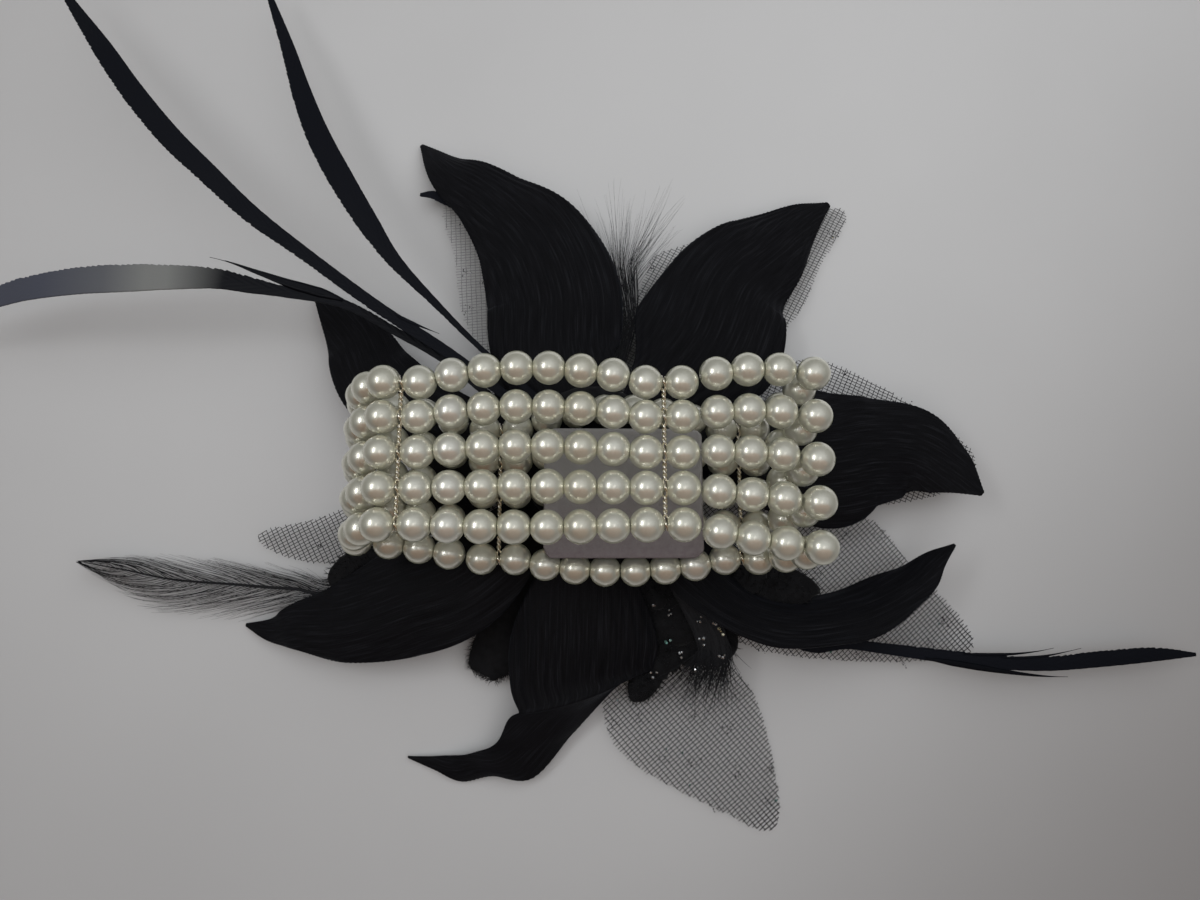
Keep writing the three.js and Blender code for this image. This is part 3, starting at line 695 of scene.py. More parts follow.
def twisted_bar(node, body):
    low, high = node_box(node)
    middle = (low + high) / 2
    shape = Shape()
    reach = STRAND_PITCH * (STRANDS - 1) / 2
    start = -reach - BAR_END
    for ply in (0, 1):
        line = []
        for k in range(BAR_POINTS + 1):
            y = start - 2 * start * k / BAR_POINTS
            pitches = (y + reach) / STRAND_PITCH
            nearest = min(max(round(pitches), 0), STRANDS - 1)
            apart = (y + reach - nearest * STRAND_PITCH) / EYE_LENGTH
            open_eye = WIRE_RADIUS + EYE_OPENING * math.exp(-apart ** 2)
            whole = math.floor(pitches)
            part = pitches - whole
            eased = part * part * (3 - 2 * part)
            turn = math.pi / 2 + math.pi * ply + math.tau * TURNS_BETWEEN_EYES * (whole + eased)
            line.append(middle + Vector((open_eye * math.cos(turn), y, open_eye * math.sin(turn))))
        shape.tube(line, [WIRE_RADIUS] * len(line), sides=8, side_hint=Vector((1, 0, 0)))
    piece(node.replace("spacer_bar", "twisted_bar"), shape, WIRE, body, [node])


for bar_side in ("flower", "palm"):
    for bar_end in ("left", "right"):
        twisted_bar(f"spacer_bar_{bar_side}_{bar_end}", f"{bar_side}_side")


# Wrist pad: a flat felt rectangle with soft, frayed edges and slightly uneven faces

PAD_CORNER = 2.2
PAD_RINGS = 22
PAD_CORNER_POINTS = 10
PAD_EDGE = 0.6
PAD_FRAY = 0.35
PAD_FRAY_SCALE = 0.4
PAD_DENT = 0.12
PAD_DENT_SCALE = 0.35
PAD_EDGE_TURNS = (0.5, 1.0, math.pi / 2)
SMALLEST_CORNER = 0.3
# Half the width of the smallest ring, in the middle of the pad
PAD_MIDDLE = 0.6


def pad_outline(inset, low, high):
    corner = max(PAD_CORNER - inset, SMALLEST_CORNER)
    points = []
    for quarter in range(4):
        x = high.x - inset - corner if quarter in (0, 3) else low.x + inset + corner
        y = high.y - inset - corner if quarter in (0, 1) else low.y + inset + corner
        for k in range(PAD_CORNER_POINTS):
            turn = math.pi / 2 * (quarter + k / (PAD_CORNER_POINTS - 1))
            points.append(Vector((x + corner * math.cos(turn), y + corner * math.sin(turn), 0)))
    return points


def build_pad():
    low, high = node_box("wrist_pad")
    size = high - low
    across_face = size.y / 2 - PAD_MIDDLE - PAD_EDGE
    steps = [(0.0, 0.5)]
    steps += [(PAD_EDGE * (1 - math.cos(turn)), 0.5 + 0.5 * math.sin(turn)) for turn in PAD_EDGE_TURNS]
    steps += [(PAD_EDGE + across_face * (k / PAD_RINGS), 1.0) for k in range(1, PAD_RINGS + 1)]
    rings = []
    under_side = [(inset, 1 - level) for inset, level in reversed(steps[1:])]
    for inset, level in under_side + steps:
        ring = pad_outline(inset, low, high)
        for p in ring:
            spot = p * PAD_FRAY_SCALE
            p += Vector((noise.noise(spot), noise.noise(spot + LIFT * 5), 0)) * PAD_FRAY
            dent = PAD_DENT * noise.noise(p * PAD_DENT_SCALE) * min(1, inset / 2)
            p.z = low.z + size.z * level + (dent if level > 0.5 else 0)
        rings.append(ring)
    shape = Shape()
    shape.skin(rings)
    pad = flower_piece("felt_pad", shape, PAD_FELT, ["wrist_pad"])


build_pad()


# Backing disc and the bound post under it

DISC_FUZZ = 0.25
DISC_FUZZ_SCALE = 0.5
DISC_RINGS = 8
DISC_EDGE_STEPS = 6
DISC_SIDES = 72
POST_LEVELS = 60
POST_SIDES = 40
POST_NOSE = 0.18
POST_TIP = 0.6
TAPE_WRAPS = 7
TAPE_ROOM = 0.97
TAPE_RIDGE = 0.18
TAPE_SINK = 0.12


def lathe(profile, centre, sides):
    shape = Shape()
    rings = []
    for radius, z in profile:
        rings.append([Vector((centre.x + radius * c, centre.y + radius * s, z)) for c, s in circle(sides)])
    shape.skin(rings)
    return shape


def build_backing():
    low, high = node_box("backing_disc")
    centre = (low + high) / 2
    radius = (high.x - low.x) / 2
    round_edge = (high.z - low.z) / 2
    profile = [(radius * k / DISC_RINGS, low.z) for k in range(1, DISC_RINGS)]
    for k in range(DISC_EDGE_STEPS + 1):
        turn = math.pi * (k / DISC_EDGE_STEPS - 0.5)
        edge = radius - round_edge + round_edge * math.cos(turn)
        profile.append((edge, centre.z + round_edge * math.sin(turn)))
    profile += [(radius * k / DISC_RINGS, high.z) for k in range(DISC_RINGS - 1, 0, -1)]
    shape = lathe(profile, centre, DISC_SIDES)
    for p in shape.points:
        spot = p * DISC_FUZZ_SCALE
        fuzz = Vector((noise.noise(spot), noise.noise(spot + LIFT * 9), 0.3 * noise.noise(p)))
        p += fuzz * DISC_FUZZ
    flower_piece("felt_disc", shape, BLACK_FELT, ["backing_disc"])


def build_post():
    """The post, with a ridge of tape that climbs round it. Returns the middle of its upper end."""
    low, high = node_box("flower_post")
    centre = (low + high) / 2
    radius = (high.y - low.y) / 2
    profile = []
    for k in range(POST_LEVELS + 1):
        share = k / POST_LEVELS
        nose = math.sqrt(max(0, 1 - max(0, 1 - share / POST_NOSE) ** 2)) * (1 - POST_TIP) + POST_TIP
        profile.append((radius * nose * TAPE_ROOM, low.z + (high.z - low.z) * share))
    shape = lathe(profile, centre, POST_SIDES)
    for p in shape.points:
        turn = math.atan2(p.y - centre.y, p.x - centre.x) / math.tau
        climb = (p.z - low.z) / (high.z - low.z) * TAPE_WRAPS - turn
        ridge = TAPE_RIDGE * (climb - math.floor(climb)) - TAPE_SINK
        p += Vector((p.x - centre.x, p.y - centre.y, 0)).normalized() * ridge
    flower_piece("bound_post", shape, BLACK_FELT, ["flower_post"])
    return Vector((centre.x, centre.y, high.z))


build_backing()
FLOWER = build_post()
ROOT_RADIUS = 6.6


def root(degrees, z, half_width=2.4):
    """A first station on the post's side."""
    turn = math.radians(degrees)
    return (ROOT_RADIUS * math.cos(turn), ROOT_RADIUS * math.sin(turn), z, half_width)


# Petals: pressed satin with lengthwise creases, a wavy edge and fine teeth towards the tip

UPPER_TIER = -2.4
LOWER_TIER = -5
PETALS = {
    "petal_top_left": [
        root(108, UPPER_TIER), (-8, 23, -4.4, 13.1), (-9, 39, -7.4, 15.1), (-14.3, 52.7, -10.4, 13.6),
        (-24.6, 64.4, -13.4, 8.9), (-35.5, 73.5, -17.5, 5.1), (-43, 83, -23, 0.5),
    ],
    "petal_top_right": [
        root(50, LOWER_TIER), (16, 16, -6.6, 9.5), (25, 28, -8.6, 17.2), (32, 43.5, -12.4, 14.4),
        (41.3, 52.9, -15.4, 10.5), (50, 61, -18.4, 5.2), (57, 66, -20.4, 0.7),
    ],
    "petal_right": [
        root(5, UPPER_TIER), (31, 2, -4.4, 9.7), (50, 2, -7.4, 15.4), (61, 4, -10.4, 12.4),
        (71, 4, -12.4, 10.3), (78, 0, -12.4, 6.6), (84, -6, -10.4, 0.6),
    ],
    "petal_lower_right": [
        root(-38, LOWER_TIER), (20, -20, -6.5, 6.7), (31, -29, -8, 7.1), (43, -32, -9.5, 7.1),
        (56, -30, -10, 7.1), (66, -25, -9.5, 5.5), (72, -20, -8.5, 2.7), (76, -17, -7.5, 0.4),
    ],
    "petal_lower_left": [
        root(-140, UPPER_TIER), (-25, -23, -5.4, 10.3), (-40, -29, -8.4, 11.5), (-53, -33, -12.4, 8.9),
        (-64, -34, -16.4, 5.6), (-71, -35, -19.9, 2.9), (-78, -34, -23, 0.4),
    ],
    "petal_left": [
        root(155, LOWER_TIER), (-32, 9.7, -8.4, 7.3), (-47.7, 19.2, -12.4, 9.3), (-55.7, 31.4, -16.4, 7.1),
        (-66.5, 43.5, -20.5, 0.5),
    ],
}
PETAL_ROLLS = {"petal_lower_right": math.radians(-42)}
# The bottom petal folds over: its left and right edge, row by row, and the row it folds at
BOTTOM_PETAL = [
    [(-2.5, -6.6, -5), (2, -6.6, -5)],
    [(-13, -25.5, -7.5), (9.5, -25.5, -7.5)],
    [(-17.5, -37, -10), (13.5, -37, -9.5)],
    [(-17.5, -47, -12.5), (13, -42, -11.5)],
    [(-15.5, -53, -13), (11.5, -44, -12)],
    [(-18.5, -56.5, -15), (3, -50, -15)],
    [(-21, -59.5, -17), (-4.5, -58, -17.5)],
    [(-24.5, -61, -19), (-13, -66.5, -19.5)],
    [(-28.5, -61.5, -20.5), (-21.5, -66, -20.5)],
    [(-32, -62, -21.5), (-28.5, -67.5, -22)],
    [(-36, -62, -22.5), (-34.5, -65, -22.5)],
    [(-40.5, -62, -23), (-40.5, -62.5, -23)],
]
FOLD_SHARE = 4 / (len(BOTTOM_PETAL) - 1)
FOLD_RIDGE = 0.7
FOLD_SPAN = 0.02
PETAL_ROWS = 170
PETAL_COLUMNS = 72
PLEAT_PITCH = 2.6
PLEAT_HEIGHT = 0.06
PLEAT_SHIFT = 2.2
DEEP_PLEATS = {"petal_top_left": 0.18, "petal_top_right": 0.18, "petal_bottom": 0.14}
MIDRIB_DEPTH = 0.14
MIDRIB_WIDTH = 0.03
EDGE_WAVE = 0.5
WAVE_TURN = 0.33
CRUMPLE = 0.35
TOOTH_PITCH = 1.1
TOOTH_DEPTH = 0.22
TOOTH_START = 0.3
TOOTH_RISE = 4
NARROWEST_EDGE = 0.15
CALM_ROOT = 5
CALM_TIP = 4
PRESSED_TIP = 1.6
# How fast the pleats' shift and the crumples change across a petal and along it
SHIFT_ACROSS = 2.5
SHIFT_ALONG = 0.035
CRUMPLE_ACROSS = 0.16
CRUMPLE_ALONG = 0.06
# How much earlier the wave comes at one edge than at the other
WAVE_LEAD = 1.5


def build_petal(name, spine, fold=1.0):
    """A petal on a spine. Beyond the share where it folds, it lies smooth."""
    phase = draw.uniform(0, math.tau)
    pleats = round(spine.width() / PLEAT_PITCH)
    pleat_height = DEEP_PLEATS.get(name, PLEAT_HEIGHT)
    grid = []
    flat = []
    for r in range(PETAL_ROWS + 1):
        share = r / PETAL_ROWS
        here, _, side, up, half = spine.frame(share)
        reach = spine.length * share
        toothed = min(1, max(0, share - TOOTH_START) * TOOTH_RISE)
        tooth = abs((reach / TOOTH_PITCH) % 1 - 0.5) * 2 * TOOTH_DEPTH * toothed
        half = max(half - tooth, NARROWEST_EDGE)
        calm = min(1, CALM_ROOT * share) * min(1, CALM_TIP * (1 - share))
        pressed = min(1, max(0, (fold - share) / FOLD_SPAN)) * min(1, PRESSED_TIP * (1 - share))
        ridge = FOLD_RIDGE * math.exp(-abs(share - fold) / FOLD_SPAN) if fold < 1 else 0.0
        line = []
        for c in range(PETAL_COLUMNS + 1):
            v = 1 - 2 * c / PETAL_COLUMNS
            drop = PETAL_CUP * half * v * v
            shift = PLEAT_SHIFT * smooth_noise(v * SHIFT_ACROSS, reach * SHIFT_ALONG, phase)
            pleat = pleat_height * math.sin(math.pi * pleats * v + shift)
            midrib = MIDRIB_DEPTH * math.exp(-(v / MIDRIB_WIDTH) ** 2)
            lead = WAVE_LEAD if v > 0 else 0
            wave = EDGE_WAVE * abs(v) ** 3 * math.sin(phase + reach * WAVE_TURN + lead)
            crumple = CRUMPLE * smooth_noise(v * half * CRUMPLE_ACROSS, reach * CRUMPLE_ALONG, phase)
            lift = ((pleat - midrib) * pressed + wave + crumple) * calm + ridge
            line.append(here + side * half * v + up * (lift - drop))
            flat.append((v * half, reach))
        grid.append(line)
    shape = Shape()
    shape.sheet(grid, PETAL_THICKNESS, flat)
    made = flower_piece(f"satin_{name}", shape, SATIN, [name])
    spine.width()
    spine.area()


for petal_name, petal_stations in PETALS.items():
    build_petal(petal_name, Spine(petal_stations, PETAL_ROLLS.get(petal_name, 0.0)))
build_petal("petal_bottom", EdgedSheet(BOTTOM_PETAL), FOLD_SHARE)


# Feathers: stripped quills with a smooth vane, and one soft feather with loose barbs

FEATHERS = {
    "long_feather_1": [
        (-8.5, 5.8, -0.7, 0.9), (-28.5, 21.5, -1.8, 1.2), (-46, 33, -1, 1.3), (-62.5, 45, 0, 1.5),
        (-73.8, 53.5, 0.3, 2), (-84, 63, 0.5, 2.3), (-92.8, 71.5, 0.5, 2.5), (-102.2, 82.5, 0, 2.5),
        (-111.6, 95, -2, 2.2), (-123, 110, -6, 1.1), (-131, 121, -7.5, 0.4),
    ],
    "long_feather_2": [
        (-6, 8, -0.7, 0.9), (-23, 23.5, -3.2, 0.6), (-34.8, 35.3, -3, 0.9), (-43.2, 44.1, -2.6, 1.6),
        (-49.2, 52.6, -2.5, 2.4), (-55.8, 63.2, -2.8, 2.8), (-61.9, 74.3, -4, 2.7), (-67, 86, -6, 2.3),
        (-72.5, 100.5, -9, 1.6), (-79, 116, -13, 0.8), (-81.5, 122, -14.2, 0.3),
    ],
    "long_feather_3": [
        (-10, 3.2, -0.7, 0.9), (-29, 20, -3, 0.9), (-42, 28, -3, 0.9), (-53.5, 34, -2, 1),
        (-65.5, 36.2, -1, 1.2), (-73, 37.6, -0.5, 1.8), (-80.5, 39, -0.2, 2.3), (-90.5, 39.2, 0, 2.8),
        (-99.5, 39, 0, 3.1), (-109.5, 38.8, -0.8, 3.1), (-120.5, 38.2, -3, 2.8), (-130, 37.3, -6, 2.5),
        (-150, 33, -12.5, 0.5),
    ],
    "slim_feather": [
        root(-52, -12, 0.8), (41, -36, -16.9, 0.9), (57, -38, -17, 1.1), (81, -41, -16.5, 1.5),
        (96, -42, -16.5, 1.5), (109, -41, -16.5, 1.7), (121, -40, -16.5, 1.5), (130, -40, -16.5, 0.4),
    ],
    "short_feather": [
        root(112, -8.4, 0.8), (-14, 37, -12.4, 1.4), (-24, 58, -16.4, 1.6), (-37, 67, -19, 1.2),
        (-42, 68, -19.4, 0.4),
    ],
    "hackle_feather": [
        root(195, -9.5, 0.8), (-24, -12, -12, 1), (-55, -26, -17.5, 3.1), (-67, -26, -20, 4),
        (-81, -25, -20.5, 4.9), (-94, -24, -20.5, 4.9), (-104, -22, -20, 3.6), (-115, -20, -19.5, 0.9),
    ],
}
VANE_STEP = 0.3
VANE_COLUMNS = 20
VANE_THICKNESS = 0.28
VANE_ROOF = 0.03
NARROWEST_VANE = 0.12
NICK_PITCH = 1.3
NICK_DEPTH = 0.4
NICK_SIZES = (0.2, 1.0)
SMOOTH_EDGE_NICK = 0.15
RIDGE_HEIGHT = 0.02
RIDGE_PITCH = 0.9
RIDGE_SLANT = 0.3
WISP_POINTS = 16
WISP_THICKNESS = 0.12
WISP_ROOT = 0.7
WISP_LIFT = 0.25
WISP_BEND = 1.3
THINNEST_WISP = 0.05
QUILL_STEPS = 70
QUILL_HALF = 0.55
QUILL_TAPER = 0.85
QUILL_LIFT = 0.12
BARE_QUILL = 22.0
BARB_POINTS = 8
BARB_HALF = 0.055
BARB_TAPER = 0.7
BARB_GAP = 0.4
BARB_SWEEP = 22.0
RAGGED = 0.7
WIDE_HAND = 1
WIDE_SIDE = 1.45
TIP_TAPER = 0.3


def strip_feather(name, nicked_hand, wisps=(), material=QUILL):
    """A stripped quill: a smooth pressed vane with fine barb ridges, nicked along one edge.

    Each wisp is a barb that has split away: where it leaves, its length, how far out it ends and half
    its width.
    """
    spine = Spine(FEATHERS[name])
    rows = int(spine.length / VANE_STEP)
    nicks = [draw.uniform(*NICK_SIZES) for _ in range(int(spine.length / NICK_PITCH) + 2)]
    grid = []
    flat = []
    for r in range(rows + 1):
        reach = spine.length * r / rows
        here, _, side, up, half = spine.frame_at(reach)
        place = reach / NICK_PITCH
        nick = NICK_DEPTH * nicks[int(place)] * (1 - place % 1) * min(1, half / 2)
        line = []
        for c in range(VANE_COLUMNS + 1):
            v = 1 - 2 * c / VANE_COLUMNS
            edge = half - (nick if v * nicked_hand > 0 else SMOOTH_EDGE_NICK * nick)
            out = max(edge, NARROWEST_VANE) * v
            ridge = RIDGE_HEIGHT * math.sin(math.tau * (reach * RIDGE_SLANT - abs(out)) / RIDGE_PITCH)
            line.append(here + side * out + up * (ridge - VANE_ROOF * abs(out)))
            flat.append((out, reach))
        grid.append(line)
    shape = Shape()
    shape.sheet(grid, VANE_THICKNESS, flat)
    for start, length, outward, wide in wisps:
        line = []
        sizes = []
        for k in range(WISP_POINTS + 1):
            q = k / WISP_POINTS
            here, _, side, up, half = spine.frame_at(start + length * q)
            swing = half * WISP_ROOT * math.copysign(1, outward) * (1 - q) + outward * q ** WISP_BEND
            line.append(here + side * swing + up * WISP_LIFT * (1 - q))
            sizes.append(max(wide * min(1, 1.6 * (1 - q)) * min(1, 4 * q + 0.3), THINNEST_WISP))
        shape.tube(line, sizes, [WISP_THICKNESS] * len(sizes))
    flower_piece(f"strip_{name}", shape, material, [name])


def hackle_feather():
    """A quill with loose barbs that run forward in ragged clumps."""
    spine = Spine(FEATHERS["hackle_feather"])
    shape = Shape()
    quill = [spine.frame(k / QUILL_STEPS) for k in range(QUILL_STEPS + 1)]
    quill_sizes = [QUILL_HALF * (1 - QUILL_TAPER * k / QUILL_STEPS) for k in range(QUILL_STEPS + 1)]
    shape.tube([here + up * QUILL_LIFT for here, _, _, up, _ in quill], quill_sizes)
    barb_sizes = [BARB_HALF * (1 - BARB_TAPER * k / (BARB_POINTS - 1)) for k in range(BARB_POINTS)]
    for hand in (1, -1):
        reach = BARE_QUILL
        while reach < spine.length - 2:
            reach += BARB_GAP * draw.uniform(0.5, 1.5)
            run = min(BARB_SWEEP * draw.uniform(1 - RAGGED * 0.5, 1 + RAGGED * 0.5), spine.length - reach)
            clump = smooth_noise(reach * 0.25, hand * 7, 2)
            wide = WIDE_SIDE if hand == WIDE_HAND else 1.0
            wide *= 1 + RAGGED * (draw.uniform(-0.35, 0.15) + 0.4 * clump)
            lift = draw.uniform(-0.5, 0.8) * RAGGED
            line = []
            for k in range(BARB_POINTS):
                q = k / (BARB_POINTS - 1)
                place = reach + run * q
                here, _, side, up, half = spine.frame_at(place)
                room = 0.08 + TIP_TAPER * max(0, spine.length - place)
                out = min(max(half, 0.5), room) * wide * q ** 0.8
                line.append(here + side * hand * out + up * (lift * q * q * 2 - 0.1 * half * q * q))
            shape.tube(line, barb_sizes, sides=3)
    flower_piece("soft_hackle_feather", shape, DOWN, ["hackle_feather"])


strip_feather("long_feather_1", 1, [(42, -10, -2.4, 0.35)])
strip_feather("long_feather_2", 1)
# The third long feather wears the quill with a painted sheen on its outer part
strip_feather("long_feather_3", -1, [(58, 25, -4.6, 0.45), (54, 26, -4.2, 1.1)], PAINTED_SHEEN_QUILL)
strip_feather("slim_feather", 1, [(88, 20, 3.2, 0.35), (96, 18, 2.6, 0.3), (80, 30, -3.0, 0.7)])
strip_feather("short_feather", 1)
hackle_feather()


# Down: loose barbs that fan out from the post

TUFTS = {
    "down_tuft_top": [
        root(82, -10, 1.5), (7, 32, -13.2, 3.2), (5.5, 44, -15.4, 6), (3, 55, -17.2, 9), (0, 64, -18.2, 11),
    ],
    "down_tuft_bottom": [
        root(-35, -9.5, 1.5), (24, -34, -11.5, 3.4), (25, -42, -13, 4.6), (27, -50, -16, 6.8),
    ],
}
STEM_POINTS = 4
TUFT_POINTS = 14
TUFT_SPREAD = 0.8
HAIR_TAPER = 0.8
HAIR_RISE = (-0.12, 0.2)


def build_tuft(name, bundles, hairs, fan_from, fan, reach, hair_half, loose):
    """Bundles of hairs that follow the spine to a place on it, then fan out.

    fan_from is the place on the spine, fan the widest angles to each side and reach the hair lengths from
    there. loose is how far a bundle's hairs stray from it.
    """
    spine = Spine(TUFTS[name])
    shape = Shape()
    sizes = [hair_half] * STEM_POINTS
    sizes += [hair_half * (1 - HAIR_TAPER * k / (TUFT_POINTS - 1)) for k in range(TUFT_POINTS)]
    for bundle in range(bundles):
        angle = math.radians(fan[0] + (fan[1] - fan[0]) * (bundle + draw.uniform(0.2, 0.8)) / bundles)
        length = draw.uniform(*reach)
        rise = draw.uniform(*HAIR_RISE)
        across_spine = 1 - (bundle + 0.5) / bundles * 2
        for _ in range(hairs):
            place = across_spine + draw.uniform(-loose, loose)
            leave = fan_from * draw.uniform(0.8, 1.15)
            aim = angle + draw.uniform(-0.5, 0.5) * loose
            own = length * draw.uniform(0.45, 1.0)
            curl = draw.uniform(-loose, loose)
            line = []
            for k in range(STEM_POINTS):
                here, _, side, _, half = spine.frame(leave * k / STEM_POINTS)
                line.append(here + side * half * place * TUFT_SPREAD)
            here, along, side, up, half = spine.frame(leave)
            start = here + side * half * place * TUFT_SPREAD
            for k in range(TUFT_POINTS):
                q = k / (TUFT_POINTS - 1)
                turn = aim + curl * q
                heading = along * math.cos(turn) - side * math.sin(turn)
                line.append(start + heading * own * q + up * rise * own * q * q)
            shape.tube(line, sizes, sides=3)
    flower_piece(f"loose_{name}", shape, DOWN, [name])


build_tuft("down_tuft_top", 13, 18, 0.55, (-42, 48), (12, 28), 0.045, 0.1)
build_tuft("down_tuft_bottom", 9, 26, 0.5, (-10, 22), (9, 16), 0.1, 0.25)


# Velvet lobe with a furry edge

LOBE = [
    root(236, -10, 4), (-11.5, -25, -13.5, 6), (-18, -35, -17, 6.5), (-22.5, -41.5, -19, 5),
    (-24, -44.5, -19, 2.8),
]
LOBE_ROWS = 60
LOBE_COLUMNS = 16
LOBE_THICKNESS = 0.6
LOBE_CUP = 0.18
LOBE_FUR = 1.6
LOBE_FRAY = 0.07
LOBE_RUMPLE = 0.3
FUR_STRAY = 0.6
FUR_BEND = 0.2
FUR_LENGTHS = (0.3, 1.0)
HAIR_SIZES = [0.07, 0.055, 0.02]


def add_fur(shape, start, outward, hairs, longest):
    """Short hairs that stand out from one point."""
    for _ in range(hairs):
        heading = (outward + stray(FUR_STRAY)).normalized() * draw.uniform(*FUR_LENGTHS) * longest
        bend = stray(FUR_BEND) * longest
        line = [start, start + heading * 0.5 + bend * 0.3, start + heading + bend]
        shape.tube(line, HAIR_SIZES, sides=3)


def build_lobe():
    spine = Spine(LOBE)
    grid = []
    flat = []
    for r in range(LOBE_ROWS + 1):
        share = r / LOBE_ROWS
        here, _, side, up, half = spine.frame(share)
        fray = 1 + LOBE_FRAY * smooth_noise(share * 40, 0, 5)
        line = []
        for c in range(LOBE_COLUMNS + 1):
            v = 1 - 2 * c / LOBE_COLUMNS
            drop = LOBE_CUP * half * v * v
            rumple = LOBE_RUMPLE * smooth_noise(v * 2, share * 9, 1)
            line.append(here + side * half * fray * v + up * (rumple - drop))
            flat.append((v * half, spine.length * share))
        grid.append(line)
    shape = Shape()
    shape.sheet(grid, LOBE_THICKNESS, flat)
    outer = grid[LOBE_ROWS // 2:]
    for line, ahead in zip(outer, outer[1:]):
        for edge, inner in ((0, 1), (-1, -2)):
            outward = (line[edge] - line[inner]).normalized() + (ahead[edge] - line[edge]).normalized()
            add_fur(shape, line[edge], outward, 4, LOBE_FUR)
    for edge, inner in zip(grid[-1], grid[-2]):
        add_fur(shape, edge, (edge - inner).normalized(), 6, LOBE_FUR)
    made = flower_piece("velvet_leaf", shape, VELVET, ["velvet_lobe"])
    spine.width()
    spine.area()


build_lobe()


# Tulle leaves: woven nets with cut edges, flocked dots and glitter

# Each leaf: heading, height of its root, fall, grain and the corners of its outline
TULLE_LEAVES = {
    "tulle_leaf_top_left": (
        117, -14, 0.11, 4, [(-5, 32), (-17, 54), (-36, 66), (-33, 52), (-30, 36), (-19, 18)]),
    "tulle_leaf_top_right": (
        52, -14, 0.11, -28, [(22, 14), (45, 34), (54, 50), (60, 66), (22, 55), (12, 46)]),
    "tulle_leaf_right": (10, -13.4, 0.105, -24, [(40, -7), (74, -6), (88, 4), (67, 20), (47, 26), (27, 14)]),
    "tulle_leaf_lower_right": (
        -28, -15.2, 0.1, 40, [(18, -21), (36, -39), (84, -40), (71, -20), (59, -9), (33, -8)]),
    "tulle_leaf_bottom": (
        -67, -16.2, 0.097, 40, [(3, -30), (4, -58), (27, -73), (40, -76), (36, -51), (27, -39), (15, -21)]),
    "tulle_leaf_left": (191, -14, 0.11, 28, [(-34, 3), (-58, -9), (-76, -14), (-64, -20), (-40, -18)]),
}
SEE_THROUGH_LEAVES = {"tulle_leaf_top_left": PALE_TULLE, "tulle_leaf_top_right": THIN_TULLE}
TULLE_ROOT = 6.4
ROOT_HALF = 2.4
ROOT_LIFT = 0.25
RIPPLE = 0.45
RIPPLE_SCALE = 0.09
RIPPLE_START = 15
OUTLINE_POINTS = 90
SHORTEST_THREAD = 0.8
THREAD_END = (-0.15, 0.4)
THREAD_SWAY = 0.05
THREAD_RISE = 0.45
# How far from the flower's middle the grid of dots and glitter reaches
LEAF_REACH = 95
DOT_GAP = 8.0
DOT_STRAY = 2.5
FLOCKS_IN_A_DOT = 12
FLOCK_RINGS = 3
FLOCK_SIDES = 6
FLOCK_SQUASH = 0.5
FLOCK_STRAY = 0.7
FLOCK_SIZES = (0.08, 0.18)
GLINT_STRAY = 3
GLINT_CHANCE = 0.5
GLINT_LIFT = 0.15
GLINT_SIZES = (0.14, 0.26)
GEM_SIDES = 8
GEM_TILT = 0.6
# Radius and height of a stone's table, girdle and point
GEM_LEVELS = ((0.55, 0.5), (1.0, 0.12), (1.0, -0.02), (0.1, -0.75))


def turned(degrees):
    turn = math.radians(degrees)
    return Vector((math.cos(turn), math.sin(turn), 0))


def edges(outline):
    return zip(outline, outline[1:] + outline[:1])


def inside(point, outline):
    odd = False
    for a, b in edges(outline):
        if (a.y > point.y) != (b.y > point.y):
            if point.x < (b.x - a.x) * (point.y - a.y) / (b.y - a.y) + a.x:
                odd = not odd
    return odd


def crossings(outline, axis, place, along):
    """Where the line at one place along an axis enters and leaves the outline."""
    found = []
    for a, b in edges(outline):
        before = a.dot(axis) - place
        after = b.dot(axis) - place
        if (before > 0) != (after > 0):
            found.append(a.lerp(b, before / (before - after)).dot(along))
    return sorted(found)


def weave(shape, outline, grain, settle):
    """Two families of threads that pass over and under one another and end at the cut edge."""
    for family in (0, 1):
        axis = turned(grain + 90 * family)
        along = turned(grain + 90 * family + 90)
        pitch = NET_PITCHES[family]
        across_pitch = NET_PITCHES[1 - family]
        reaches = [p.dot(axis) for p in outline]
        for number in range(math.ceil(min(reaches) / pitch), math.floor(max(reaches) / pitch) + 1):
            place = number * pitch
            ends = crossings(outline, axis, place, along)
            for start, stop in zip(ends[::2], ends[1::2]):
                start -= draw.uniform(*THREAD_END)
                stop += draw.uniform(*THREAD_END)
                if stop - start < SHORTEST_THREAD:
                    continue
                knots = [(start, 0)]
                for knot in range(math.ceil(start / across_pitch), math.floor(stop / across_pitch) + 1):
                    over = 1 if (knot + number + family) % 2 else -1
                    knots.append((knot * across_pitch, over))
                knots.append((stop, 0))
                line = []
                for reach, over in knots:
                    sway = draw.uniform(-THREAD_SWAY, THREAD_SWAY)
                    flat = axis * (place + sway) + along * reach
                    line.append(settle(flat) + LIFT * NET_THREAD * THREAD_RISE * over)
                shape.tube(line, [NET_THREAD / 2] * len(line), sides=4)


def add_flock(shape, centre, radius):
    """A small fuzzy ball."""
    rings = []
    for k in range(FLOCK_RINGS):
        tilt = math.pi * (k + 0.5) / FLOCK_RINGS - math.pi / 2
        ring = []
        for c, s in circle(FLOCK_SIDES):
            fuzz = radius * draw.uniform(0.8, 1.15)
            level = fuzz * math.cos(tilt)
            ring.append(centre + Vector((level * c, level * s, FLOCK_SQUASH * fuzz * math.sin(tilt))))
        rings.append(ring)
    shape.skin(rings)


